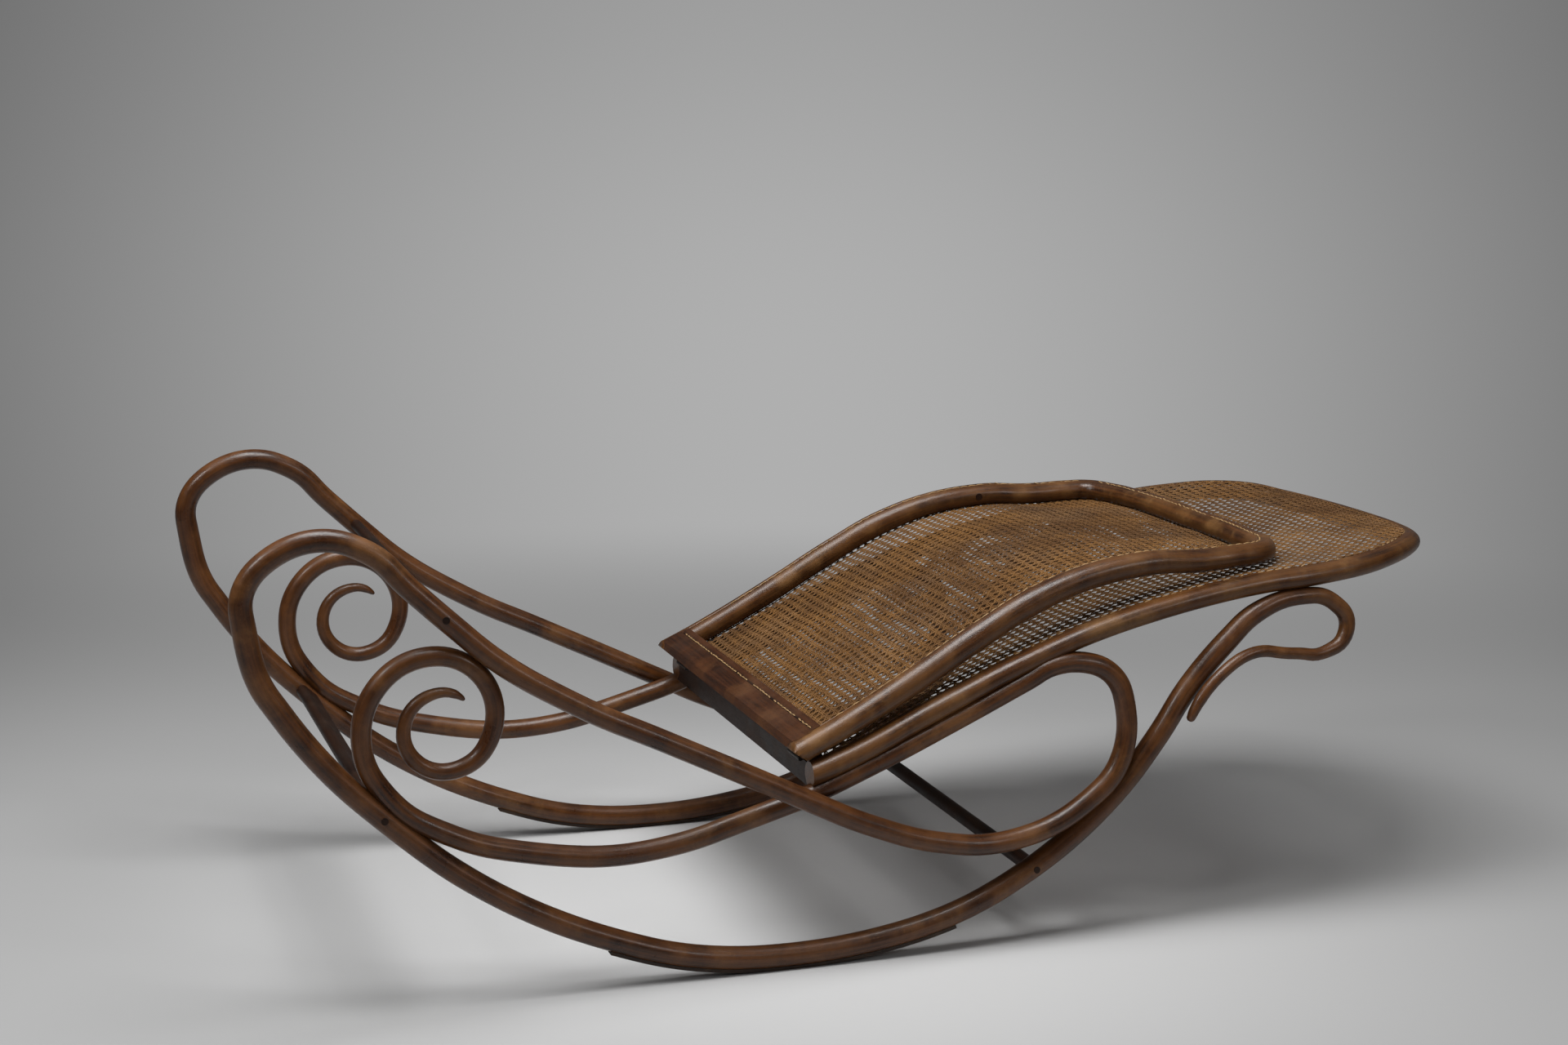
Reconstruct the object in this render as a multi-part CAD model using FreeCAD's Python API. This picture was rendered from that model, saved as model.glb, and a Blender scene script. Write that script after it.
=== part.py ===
import FreeCAD, Part
import math
import os
from FreeCAD import Matrix, Placement, Rotation, Vector

# Rocking chaise of bent wood rods with a caned seat and a folding caned back.
# X runs along the chaise (head loops at -X, foot end at +X), Y across it, Z up.
# The origin lies on the floor under the middle of the whole object.

# Driving sizes, in millimetres
object_length = 1676.0
seat_width = 648.0
side_gap = 1.0
side_spacing = seat_width + 2 * side_gap
back_step = 4.0
back_width = seat_width - 2 * back_step
rod_girth = 30.0
runner_thickness = 4.5
runner_inset = 1.5
runner_width = 14.0
worn_depth = 0.4
rail_width = 36.0
end_board_height = 33.0
end_board_thickness = 20.0
head_board_length = 49.0
head_board_thickness = 30.5
head_board_overhang = 11.0
fold_gap = 4.6
undercut_angle = 31.0
cane_thickness = 1.6
cane_drop = 2.0
cane_sag = 8.0
head_bar_girth = 15.0
cross_board_height = 35.0
cross_board_thickness = 16.0
stretcher_girth = 20.0
carve_gap = 0.2

# Hinge sizes
barrel_radius = 3.0
pin_radius = 1.4
pin_clearance = 0.05
pin_overhang = 1.0
leaf_thickness = 1.8
hinge_width = 46.0
hinge_setback = 96.0
knuckle_gap = 0.3
seat_leaf_length = 22.0
back_leaf_length = 30.0
hinge_clearance = 0.3

# Fastener sizes
shank_radius = 2.4
head_radius = 4.4
head_thickness = 2.6
side_screw_length = 58.0
plug_depth = 3.0
plug_proud = 0.4
rail_screw_length = 34.0
board_screw_length = 52.0
leaf_screw_radius = 1.5
leaf_screw_head_radius = 2.8
leaf_screw_head_thickness = 1.0
leaf_screw_length = 14.0
dowel_radius = 4.0
dowel_length = 40.0
peg_radius = 5.0
peg_length = 12.0
peg_proud = 1.5
screw_fit = 0.05
overrun = 60.0

# Rows for the side frame: place along and height as shares of the length,
# shift away from the side's middle plane and girth as shares of the rod girth.
cross_board_shares = (-0.399, 0.134, 0.0, 0.98)
stretcher_shares = (0.100, 0.0487, 0.0, 0.98)
head_bar_shares = (-0.353, 0.276, 0.24, 0.92)
loop_joint_shares = (-0.489, 0.306, 0.0, 0.92)
seat_joint_shares = (0.117, 0.205, -0.33, 0.90)
runner_start_shares = (-0.232, 0.026, 0.0, 0.98)
runner_end_shares = (0.033, 0.0177, 0.0, 0.98)
rocker_seat_shares = (0.320, 0.245, -0.33, 0.78)
scroll_seat_front_shares = (0.045, 0.171, -0.47, 0.90)
scroll_seat_rear_shares = (-0.030, 0.1385, -0.47, 0.90)

rocker_row_shares = [
    (0.226, 0.156, 0.52, 0.40),
    (0.235, 0.173, 0.52, 0.53),
    (0.250, 0.189, 0.47, 0.53),
    (0.279, 0.205, 0.30, 0.53),
    (0.320, 0.202, 0.17, 0.53),
    (0.344, 0.200, 0.07, 0.57),
    (0.3655, 0.212, -0.07, 0.70),
    (0.368, 0.2245, -0.17, 0.73),
    (0.3555, 0.240, -0.27, 0.74),
    rocker_seat_shares,
    (0.287, 0.234, -0.30, 0.92),
    (0.261, 0.2125, -0.23, 0.98),
    (0.233, 0.183, -0.20, 0.98),
    (0.203, 0.1405, -0.17, 0.98),
    (0.179, 0.112, -0.07, 0.98),
    (0.151, 0.0855, 0.0, 0.98),
    stretcher_shares,
    runner_end_shares,
    (0.008, 0.011, 0.0, 0.98),
    (-0.040, 0.003, 0.0, 0.98),
    (-0.089, 0.0, 0.0, 0.98),
    (-0.138, 0.002, 0.0, 0.98),
    (-0.184, 0.010, 0.0, 0.98),
    runner_start_shares,
    (-0.287, 0.051, 0.0, 0.98),
    (-0.340, 0.084, 0.0, 0.98),
    cross_board_shares,
    (-0.430, 0.165, 0.0, 0.98),
    (-0.466, 0.212, 0.0, 0.98),
    (-0.482, 0.239, 0.0, 0.98),
    (-0.489, 0.266, 0.0, 0.98),
    loop_joint_shares,
]

arm_row_shares = [
    (-0.466, 0.328, 0.0, 0.92),
    (-0.431, 0.335, 0.0, 0.92),
    (-0.404, 0.325, 0.07, 0.92),
    (-0.374, 0.296, 0.17, 0.92),
    head_bar_shares,
    (-0.316, 0.243, 0.33, 0.92),
    (-0.256, 0.205, 0.37, 0.92),
    (-0.191, 0.173, 0.43, 0.92),
    (-0.124, 0.140, 0.48, 0.92),
    (-0.090, 0.123, 0.48, 0.92),
    (-0.038, 0.098, 0.48, 0.92),
    (0.013, 0.080, 0.47, 0.92),
    (0.066, 0.073, 0.40, 0.92),
    (0.135, 0.094, 0.33, 0.92),
    (0.169, 0.126, 0.23, 0.92),
    (0.176, 0.161, 0.10, 0.92),
    (0.163, 0.197, -0.10, 0.92),
    (0.134, 0.207, -0.27, 0.92),
    seat_joint_shares,
]

scroll_row_shares = [
    (0.094, 0.194, -0.40, 0.90),
    scroll_seat_front_shares,
    scroll_seat_rear_shares,
    (-0.072, 0.122, -0.47, 0.90),
    (-0.124, 0.1065, -0.45, 0.90),
    (-0.180, 0.0925, -0.37, 0.90),
    (-0.232, 0.089, -0.22, 0.90),
    (-0.284, 0.096, -0.10, 0.90),
    (-0.345, 0.114, 0.0, 0.90),
    (-0.391, 0.144, 0.0, 0.87),
    (-0.412, 0.183, 0.0, 0.83),
    (-0.406, 0.221, 0.0, 0.83),
    (-0.373, 0.247, 0.0, 0.83),
    (-0.342, 0.244, 0.0, 0.80),
    (-0.321, 0.222, 0.0, 0.78),
    (-0.319, 0.192, 0.0, 0.77),
    (-0.335, 0.169, 0.0, 0.73),
    (-0.368, 0.168, 0.0, 0.67),
    (-0.383, 0.192, 0.0, 0.60),
    (-0.367, 0.219, 0.0, 0.50),
    (-0.346, 0.220, 0.0, 0.37),
    (-0.339, 0.215, 0.0, 0.17),
]

# Rows for the seat rail, from the head end to the middle of the foot end:
# place along and height of the rail's middle as shares of the length,
# place across as a share of its half width, thickness as a share of its width.
seat_row_shares = [
    (-0.0776, 1.0, 0.1450, 0.92),
    (-0.0597, 1.0, 0.1510, 0.92),
    (0.0310, 1.0, 0.1912, 0.86),
    (0.0907, 1.0, 0.2169, 0.79),
    (0.1504, 1.0, 0.2381, 0.77),
    (0.2220, 1.0, 0.2557, 0.75),
    (0.2936, 1.0, 0.2673, 0.75),
    (0.3445, 1.0, 0.2715, 0.75),
    (0.3902, 0.971, 0.2766, 0.75),
    (0.4248, 0.884, 0.2807, 0.75),
    (0.4524, 0.744, 0.2817, 0.75),
    (0.4729, 0.553, 0.2783, 0.75),
    (0.4854, 0.315, 0.2762, 0.75),
    (0.4897, 0.0, 0.2755, 0.75),
]

# Rows for the rail of the back as it lies folded on the seat
back_row_shares = [
    (-0.0990, 1.0, 0.1561, 0.933),
    (-0.0656, 0.995, 0.1715, 0.933),
    (0.0030, 0.985, 0.2070, 1.11),
    (0.0555, 0.975, 0.2372, 1.14),
    (0.1026, 0.965, 0.2622, 1.08),
    (0.1504, 0.955, 0.2789, 0.95),
    (0.1981, 0.945, 0.2862, 0.88),
    (0.2578, 0.925, 0.2855, 0.83),
    (0.2800, 0.918, 0.2866, 0.81),
    (0.3052, 0.885, 0.2871, 0.80),
    (0.3190, 0.775, 0.2862, 0.79),
    (0.3270, 0.540, 0.2857, 0.78),
    (0.3297, 0.0, 0.2857, 0.78),
]

# Places along the seat rail, the back rail and the boards, as shares
board_screw_height_share = 0.60
plate_screw_share = 0.28
peg_row_share = 0.50
dowel_height_share = 0.75
end_bevel_share = 0.75

# The lowest point of a rocker rod's middle line stands this far off the floor.
rocker_radius = 0.98 * rod_girth / 2
rod_lift = runner_thickness - runner_inset + rocker_radius - worn_depth


def unit(vector):
    """Return the vector at length one."""
    result = Vector(vector)
    result.normalize()
    return result


def node_tangents(points):
    """Return the direction of a smooth curve at each of its points."""
    tangents = [None] * len(points)
    for index in range(1, len(points) - 1):
        before = points[index] - points[index - 1]
        after = points[index + 1] - points[index]
        tangents[index] = unit(before * (1 / before.dot(before)) + after * (1 / after.dot(after)))
    for end, inner, chord in (
        (0, 1, points[1] - points[0]),
        (-1, -2, points[-1] - points[-2]),
    ):
        along = unit(chord)
        tangents[end] = along * (2 * tangents[inner].dot(along)) - tangents[inner]
    return tangents


def tangent_arc(start, tangent, end):
    """Return the arc that leaves start along tangent and reaches end."""
    chord = end - start
    turn = tangent.getAngle(chord)
    if turn < 0.0002:
        return Part.LineSegment(start, end).toShape()
    middle = start + unit(tangent + unit(chord)) * (chord.Length / 2 / math.cos(turn / 2))
    return Part.Arc(start, middle, end).toShape()


def arc_spans(points):
    """Return the two tangent arcs of each span of a smooth curve."""
    tangents = node_tangents(points)
    spans = []
    for index in range(len(points) - 1):
        start, end = points[index], points[index + 1]
        first, last = tangents[index], tangents[index + 1]
        chord = end - start
        both = first + last
        slack = 2 * (1 - first.dot(last))
        if slack > 0.000001:
            reach = math.sqrt(chord.dot(both) ** 2 + slack * chord.dot(chord))
            reach = (reach - chord.dot(both)) / slack
        else:
            reach = chord.dot(chord) / (4 * chord.dot(last))
        near = start + first * reach
        far = end - last * reach
        middle = (near + far) * 0.5
        spans.append([tangent_arc(start, first, middle), tangent_arc(middle, unit(far - near), end)])
    return spans


def sample_span(span, steps):
    """Return points and directions along a span's two arcs, without its end."""
    samples = []
    for edge in span:
        first, last = edge.ParameterRange
        for step in range(steps):
            place = first + (last - first) * step / steps
            samples.append((edge.valueAt(place), unit(edge.tangentAt(place))))
    return samples


def span_end(span):
    """Return the last point and direction of a span."""
    edge = span[-1]
    last = edge.ParameterRange[1]
    return edge.valueAt(last), unit(edge.tangentAt(last))


def round_ring(point, direction, radius):
    """Return a circle across a rod's middle line."""
    return Part.Wire([Part.Circle(point, direction, radius).toShape()])


def flat_oval(point, direction, width, height):
    """Return an upright ring with flat top and bottom and half round sides."""
    side = unit(Vector(0, 0, 1).cross(direction))
    up = Vector(0, 0, 1)
    radius = height / 2
    flat = max(width / 2 - radius, width / 50)
    bulge = width / 2
    corners = [point + side * (sign * flat) + up * (lift * radius)
               for sign, lift in ((1, 1), (-1, 1), (-1, -1), (1, -1))]
    return Part.Wire([
        Part.LineSegment(corners[0], corners[1]).toShape(),
        Part.Arc(corners[1], point - side * bulge, corners[2]).toShape(),
        Part.LineSegment(corners[2], corners[3]).toShape(),
        Part.Arc(corners[3], point + side * bulge, corners[0]).toShape(),
    ])


def ruled_solid(rings):
    """Return the closed solid that runs straight from ring to ring."""
    return Part.makeLoft(rings, True, True)


def piped_solid(spans, radius):
    """Return a round rod of one radius along tangent arcs."""
    edges = [edge for span in spans for edge in span]
    start = edges[0].valueAt(edges[0].ParameterRange[0])
    direction = edges[0].tangentAt(edges[0].ParameterRange[0])
    pipe = Part.BRepOffsetAPI.MakePipeShell(Part.Wire(edges))
    pipe.add(round_ring(start, direction, radius))
    pipe.build()
    pipe.makeSolid()
    return Part.Solid(pipe.shape())


def tapered_solid(spans, radii, grow):
    """Return a round rod whose radius runs evenly along each span."""
    rings = []
    for span, start_radius, end_radius in zip(spans, radii[:-1], radii[1:]):
        turn = sum(edge.Length / edge.Curve.Radius for edge in span if hasattr(edge.Curve, "Radius"))
        steps = max(2, math.ceil(turn / math.radians(24)))
        samples = sample_span(span, steps)
        for index, (point, direction) in enumerate(samples):
            share = index / len(samples)
            rings.append(round_ring(point, direction, grow + start_radius + (end_radius - start_radius) * share))
    point, direction = span_end(spans[-1])
    rings.append(round_ring(point, direction, grow + radii[-1]))
    return ruled_solid(rings)


def rod_solid(spans, radii, grow=0.0):
    """Return a bent rod: round pipes where the radius stays, tapers where it changes."""
    pieces = []
    start = 0
    while start < len(spans):
        steady = abs(radii[start] - radii[start + 1]) < radii[start] / 1000
        end = start + 1
        while end < len(spans) and (abs(radii[end] - radii[end + 1]) < radii[end] / 1000) == steady:
            end += 1
        if steady:
            pieces.append(piped_solid(spans[start:end], radii[start] + grow))
        else:
            pieces.append(tapered_solid(spans[start:end], radii[start:end + 1], grow))
        start = end
    if len(pieces) == 1:
        return pieces[0]
    return pieces[0].fuse(pieces[1:]).removeSplitter()


def row_point(shares, side):
    """Return the place of a side frame row; side is 1 for left and -1 for right."""
    return Vector(
        shares[0] * object_length,
        side * (side_spacing / 2 + shares[2] * rod_girth),
        rod_lift + shares[1] * object_length,
    )


def row_radius(shares):
    """Return the rod's radius at a side frame row."""
    return shares[3] * rod_girth / 2


def single(shape):
    """Return the largest solid of a shape."""
    return max(shape.Solids, key=lambda solid: solid.Volume)


def half_space(point, normal, size):
    """Return a large block that lies on the side of a plane that normal points to."""
    block = Part.makeBox(size, size, size, Vector(-size / 2, -size / 2, 0))
    turn = Rotation(Vector(0, 0, 1), normal)
    block.Placement = Placement(point, turn)
    return block


def cylinder_between(start, end, radius):
    """Return a round bar from start to end."""
    return Part.makeCylinder(radius, (end - start).Length, start, end - start)


def screw(start, direction, length, shank, head, thickness):
    """Return a screw whose head starts at start and whose shank runs along direction."""
    along = unit(direction)
    top = cylinder_between(start, start + along * thickness, head)
    stem = cylinder_between(start + along * (thickness / 2), start + along * length, shank)
    return top.fuse(stem)


def screw_hole(start, direction, length, shank, head, thickness):
    """Return the hollow that a screw fills, with its fit and a way in for the head."""
    along = unit(direction)
    back = start - along * overrun
    mouth = cylinder_between(back, start + along * (thickness + screw_fit), head + screw_fit)
    stem = cylinder_between(start, start + along * (length + screw_fit), shank + screw_fit)
    return mouth.fuse(stem)


class SideFrame:
    """The three bent rods, the runner strip and the fastening places of one side."""

    def __init__(self, side):
        self.side = side
        self.rows = rocker_row_shares + arm_row_shares + scroll_row_shares
        self.points = [row_point(row, side) for row in self.rows]
        self.radii = [row_radius(row) for row in self.rows]
        self.spans = arc_spans(self.points)
        self.loop_joint = self.rows.index(loop_joint_shares)
        self.seat_joint = self.rows.index(seat_joint_shares)

    def sweep(self, first, last, grow=0.0):
        """Return the plain rod from one row to another."""
        return rod_solid(self.spans[first:last], self.radii[first:last + 1], grow)

    def rocker(self, grow=0.0):
        """Return the plain rocker rod, tail end to arm loop."""
        return self.sweep(0, self.loop_joint, grow)

    def arm(self, grow=0.0):
        """Return the plain arm rod, arm loop to the joint under the seat."""
        return self.sweep(self.loop_joint, self.seat_joint, grow)

    def scroll(self, grow=0.0):
        """Return the plain scroll rod, joint under the seat to the spiral's tip."""
        return self.sweep(self.seat_joint, len(self.rows) - 1, grow)

    def place(self, shares):
        """Return the point of a named row on this side."""
        return row_point(shares, self.side)

    def outward(self):
        """Return the direction away from the seat."""
        return Vector(0, self.side, 0)

    def runner(self, grow=0.0):
        """Return the strip under the rocker rod, still without its worn flat."""
        first = self.rows.index(runner_end_shares)
        last = self.rows.index(runner_start_shares)
        width = runner_width / 2 + grow
        inner = rocker_radius - runner_inset - grow
        outer = rocker_radius - runner_inset + runner_thickness + grow
        rings = []
        samples = [sample for span in self.spans[first:last] for sample in sample_span(span, 3)]
        samples.append(span_end(self.spans[last - 1]))
        for point, direction in samples:
            down = unit(Vector(0, 1, 0).cross(direction))
            if down.z > 0:
                down = down * -1
            across = Vector(0, width, 0)
            corners = [point + down * inner - across, point + down * inner + across,
                       point + down * outer + across, point + down * outer - across]
            rings.append(Part.makePolygon(corners + corners[:1]))
        return ruled_solid(rings)


def member_screw_start(frame, shares):
    """Return the place of a cross member screw's head, inside the rod's outer face."""
    return frame.place(shares) + frame.outward() * (row_radius(shares) - plug_depth)


def member_screw_arguments(frame, shares):
    """Return the arguments of the screw that holds a cross member."""
    return (member_screw_start(frame, shares), frame.outward() * -1, side_screw_length,
            shank_radius, head_radius, head_thickness)


def member_plug(frame, shares):
    """Return the round plug that covers a cross member screw."""
    start = member_screw_start(frame, shares) + frame.outward() * screw_fit
    reach = plug_depth + plug_proud - screw_fit
    return cylinder_between(start, start + frame.outward() * reach, head_radius)


def rail_screw_arguments(frame, shares):
    """Return the arguments of the upright screw that holds the seat rail on a rod."""
    start = frame.place(shares) - Vector(0, 0, row_radius(shares) - head_thickness / 2)
    return (start, Vector(0, 0, 1), rail_screw_length, shank_radius, head_radius, head_thickness)


member_shares = (head_bar_shares, cross_board_shares, stretcher_shares)
rail_screw_shares = (rocker_seat_shares, scroll_seat_front_shares, scroll_seat_rear_shares)


def rail_points(rows, half_width):
    """Return the middle line points of a rail bent in a U, right side to left side."""
    half = [Vector(row[0] * object_length, row[1] * half_width, row[2] * object_length) for row in rows]
    right = [Vector(point.x, -point.y, point.z) for point in half]
    return right + half[-2::-1]


def bent_rail(rows, half_width, grow=0.0):
    """Return a rail bent in a U with upright flat oval rings."""
    points = rail_points(rows, half_width)
    heights = [row[3] * rail_width for row in rows]
    heights = heights + heights[-2::-1]
    rings = []
    for index, span in enumerate(arc_spans(points)):
        samples = sample_span(span, 2)
        for step, (point, direction) in enumerate(samples):
            height = heights[index] + (heights[index + 1] - heights[index]) * step / len(samples)
            rings.append(flat_oval(point, direction, rail_width + 2 * grow, height + 2 * grow))
    point, direction = span_end(arc_spans(points)[-1])
    rings.append(flat_oval(point, direction, rail_width + 2 * grow, heights[-1] + 2 * grow))
    return ruled_solid(rings)


def seat_half():
    """Return half the distance between the seat rail's middle lines."""
    return (seat_width - rail_width) / 2


def back_half():
    """Return half the distance between the back rail's middle lines."""
    return (back_width - rail_width) / 2


def cane_sheet(rows, half_width, start_x, facing):
    """Return a thin sheet near the rail's top (facing 1) or underside (-1), pressed in by sitting."""
    points = [Vector(row[0] * object_length, row[1] * half_width, row[2] * object_length) for row in rows]
    depth = cane_drop + cane_thickness / 2
    heights = [facing * (row[3] * rail_width / 2 - depth) + cane_thickness / 2 for row in rows]
    places = [(start_x, points[0], points[1], heights[0], heights[1])]
    rings = []
    for index in range(len(points)):
        if points[index].x > start_x and points[index].y > half_width / 3:
            places.append((points[index].x, points[index], points[index], heights[index], heights[index]))
    for x, before, after, rise, next_rise in places:
        share = 0 if after.x == before.x else (x - before.x) / (after.x - before.x)
        reach = before.y + (after.y - before.y) * share
        top = before.z + rise + (after.z + next_rise - before.z - rise) * share
        sag = facing * cane_sag * reach / half_width
        low = top - cane_thickness
        rings.append(Part.Wire([
            Part.Arc(Vector(x, -reach, top), Vector(x, 0, top - sag), Vector(x, reach, top)).toShape(),
            Part.LineSegment(Vector(x, reach, top), Vector(x, reach, low)).toShape(),
            Part.Arc(Vector(x, reach, low), Vector(x, 0, low - sag), Vector(x, -reach, low)).toShape(),
            Part.LineSegment(Vector(x, -reach, low), Vector(x, -reach, top)).toShape(),
        ]))
    return ruled_solid(rings)


# The hinge axis: in front of the seat's end face, level with the gap under the folded back
seat_start = Vector(seat_row_shares[0][0] * object_length, 0, seat_row_shares[0][2] * object_length)
back_start = Vector(back_row_shares[0][0] * object_length, 0, back_row_shares[0][2] * object_length)
back_next = Vector(back_row_shares[1][0] * object_length, 0, back_row_shares[1][2] * object_length)
end_slope = math.atan2(back_next.z - back_start.z, back_next.x - back_start.x)
end_face_x = seat_start.x
back_floor = back_next.z - back_row_shares[1][3] * rail_width / 2
hinge_x = end_face_x - barrel_radius - hinge_clearance
hinge_z = (back_floor - (back_next.x - hinge_x) * math.tan(end_slope)
           - fold_gap / 2 / math.cos(end_slope))
board_floor = fold_gap / 2
hinge_point = Vector(hinge_x, 0, hinge_z)
hinge_turn = Rotation(Vector(0, 1, 0), -math.degrees(end_slope))


def at_hinge(shape):
    """Return a shape drawn on the hinge axis, moved to it and tilted with the seat's slope."""
    moved = shape.copy()
    moved.Placement = Placement(hinge_point, hinge_turn)
    return moved


def hinge_places():
    """Return the middle of each hinge across the chaise."""
    return [sign * (seat_half() - hinge_setback / 2) for sign in (-1, 1)]


def knuckle_spans(middle):
    """Return the seat leaf's knuckle and the back leaf's two, as ranges across."""
    third = hinge_width / 3
    start = middle - hinge_width / 2
    seat = (start + third + knuckle_gap / 2, start + 2 * third - knuckle_gap / 2)
    back = ((start, start + third - knuckle_gap / 2), (start + 2 * third + knuckle_gap / 2, start + hinge_width))
    return seat, back


def barrel(span, radius, grow=0.0):
    """Return a round bar along the hinge axis over a range across the chaise."""
    start = Vector(hinge_point.x, span[0] - grow, hinge_point.z)
    return Part.makeCylinder(radius, span[1] - span[0] + 2 * grow, start, Vector(0, 1, 0))


def pin_bore(middle):
    """Return the bore for one hinge pin."""
    span = (middle - hinge_width, middle + hinge_width)
    return barrel(span, pin_radius + pin_clearance)


def make_seat_leaf(middle):
    """Return the leaf on top of the end board with its middle knuckle."""
    seat, back = knuckle_spans(middle)
    plate = at_hinge(Part.makeBox(
        seat_leaf_length, hinge_width, leaf_thickness,
        Vector(0, middle - hinge_width / 2, -board_floor),
    ))
    for span in back:
        plate = plate.cut(barrel(span, barrel_radius + hinge_clearance, knuckle_gap / 2))
    leaf = single(plate).fuse(barrel(seat, barrel_radius))
    holes = [screw_hole(*arguments) for arguments in seat_leaf_screws(middle)]
    return single(leaf.cut([pin_bore(middle)] + holes).removeSplitter())


def leaf_screws(middle, length, lift, direction):
    """Return the screws of a leaf, flush with the face that looks into the folding gap."""
    along = hinge_turn.multVec(direction)
    screws = []
    for sign in (-1, 1):
        place = Vector(length * 2 / 3, middle + sign * plate_screw_share * hinge_width, lift)
        screws.append((hinge_point + hinge_turn.multVec(place), along, leaf_screw_length,
                       leaf_screw_radius, leaf_screw_head_radius, leaf_screw_head_thickness))
    return screws


def seat_leaf_screws(middle):
    """Return the screws that hold a seat leaf on the end board."""
    return leaf_screws(middle, seat_leaf_length, leaf_thickness - board_floor, Vector(0, 0, -1))


def make_back_leaf(middle):
    """Return the leaf under the head board with its two outer knuckles."""
    seat, back = knuckle_spans(middle)
    plate = Part.makeBox(
        back_leaf_length, hinge_width, leaf_thickness,
        Vector(0, middle - hinge_width / 2, board_floor - leaf_thickness),
    )
    leaf = at_hinge(plate).cut(barrel(seat, barrel_radius + hinge_clearance, knuckle_gap / 2))
    leaf = leaf.fuse([barrel(span, barrel_radius) for span in back])
    holes = [screw_hole(*arguments) for arguments in back_leaf_screws(middle)]
    return single(leaf.cut([pin_bore(middle)] + holes).removeSplitter())


def back_leaf_screws(middle):
    """Return the screws that hold a back leaf under the head board."""
    return leaf_screws(middle, back_leaf_length, board_floor - leaf_thickness, Vector(0, 0, 1))


def make_hinge_pin(middle):
    """Return a hinge pin that stands a little out of its knuckles."""
    span = (middle - hinge_width / 2 - pin_overhang, middle + hinge_width / 2 + pin_overhang)
    return barrel(span, pin_radius)


def end_board_screws():
    """Return the screws through the seat rail's sides into the end board's ends."""
    x = end_face_x + end_board_thickness / 2
    z = seat_start.z + (board_screw_height_share - 1 / 2) * end_board_height
    return [
        (Vector(x, sign * (seat_width / 2 - head_thickness / 2), z), Vector(0, -sign, 0),
         board_screw_length, shank_radius, head_radius, head_thickness)
        for sign in (-1, 1)
    ]


def make_end_board():
    """Return the board between the seat rail's ends, its top sloped like the back above it."""
    low = seat_start.z - end_board_height / 2
    reach = seat_half() - rail_width / 4
    board = Part.makeBox(end_board_thickness, 2 * reach, end_board_height + rail_width,
                         Vector(end_face_x, -reach, low))
    slope = Vector(-math.sin(end_slope), 0, math.cos(end_slope))
    board = board.cut(half_space(hinge_point - slope * board_floor, slope, seat_width * 2))
    board = single(board.cut(bent_rail(seat_row_shares, seat_half(), carve_gap)))
    tools = [screw_hole(*arguments) for arguments in end_board_screws()]
    for middle in hinge_places():
        tools += [screw_hole(*arguments) for arguments in seat_leaf_screws(middle)]
    return single(board.cut(tools))


def make_seat_rail(frames):
    """Return the bent seat rail with its screw holes."""
    rail = bent_rail(seat_row_shares, seat_half())
    tools = [screw_hole(*arguments) for arguments in end_board_screws()]
    for frame in frames:
        tools += [screw_hole(*rail_screw_arguments(frame, shares)) for shares in rail_screw_shares]
    return single(rail.cut(tools))


def make_seat_cane():
    """Return the caned panel of the seat."""
    sheet = cane_sheet(seat_row_shares, seat_half(), end_face_x + end_board_thickness + carve_gap, 1)
    return single(sheet.cut(bent_rail(seat_row_shares, seat_half(), carve_gap)))


def board_end_x():
    """Return the place along the chaise where the cane of the back begins."""
    corner = Vector(head_board_length - head_board_overhang, 0, board_floor)
    return (hinge_point + hinge_turn.multVec(corner)).x


def trim_head_end(piece):
    """Return a piece of the back cut to the undercut and bevelled nose of its hinge end."""
    along = hinge_turn.multVec(Vector(1, 0, 0))
    end = hinge_point - along * head_board_overhang
    piece = piece.cut(half_space(end, along * -1, back_width * 2))
    height = board_floor + head_board_thickness * end_bevel_share
    corner = hinge_point + hinge_turn.multVec(Vector(-head_board_overhang, 0, height))
    piece = piece.cut(half_space(corner, hinge_turn.multVec(Vector(-1, 0, 1)), back_width * 2))
    lean = math.radians(undercut_angle)
    under = hinge_turn.multVec(Vector(-math.cos(lean), 0, -math.sin(lean)))
    face = hinge_point - under * (barrel_radius + 2 * hinge_clearance)
    return single(piece.cut(half_space(face, under, back_width * 2)))


def head_board_dowels():
    """Return the pegs that hold the head board between the rail's ends."""
    inner = back_half() - rail_width / 2
    height = board_floor + head_board_thickness * dowel_height_share
    place = Vector((head_board_length - head_board_overhang) / 2, 0, height)
    centre = hinge_point + hinge_turn.multVec(place)
    return [
        (Vector(centre.x, sign * (inner - dowel_length / 2), centre.z),
         Vector(centre.x, sign * (inner + dowel_length / 2), centre.z))
        for sign in (-1, 1)
    ]


def make_back_rail():
    """Return the bent rail of the back with its peg and screw holes."""
    tools = [cylinder_between(start, end, dowel_radius + screw_fit) for start, end in head_board_dowels()]
    tools += [cylinder_between(start, end, peg_radius + screw_fit) for start, end in back_pegs()]
    for middle in hinge_places():
        tools += [screw_hole(*arguments) for arguments in back_leaf_screws(middle)]
    rail = trim_head_end(bent_rail(back_row_shares, back_half()))
    return single(rail.cut(tools))


def make_head_board():
    """Return the board across the back's hinge end, coped to the rail."""
    width = back_width - rail_width
    board = at_hinge(Part.makeBox(head_board_length, width, head_board_thickness,
                                  Vector(-head_board_overhang, -width / 2, board_floor)))
    board = trim_head_end(board.cut(bent_rail(back_row_shares, back_half(), carve_gap)))
    tools = [cylinder_between(start, end, dowel_radius + screw_fit) for start, end in head_board_dowels()]
    for middle in hinge_places():
        tools += [screw_hole(*arguments) for arguments in back_leaf_screws(middle)]
    return single(board.cut(tools))


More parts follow.
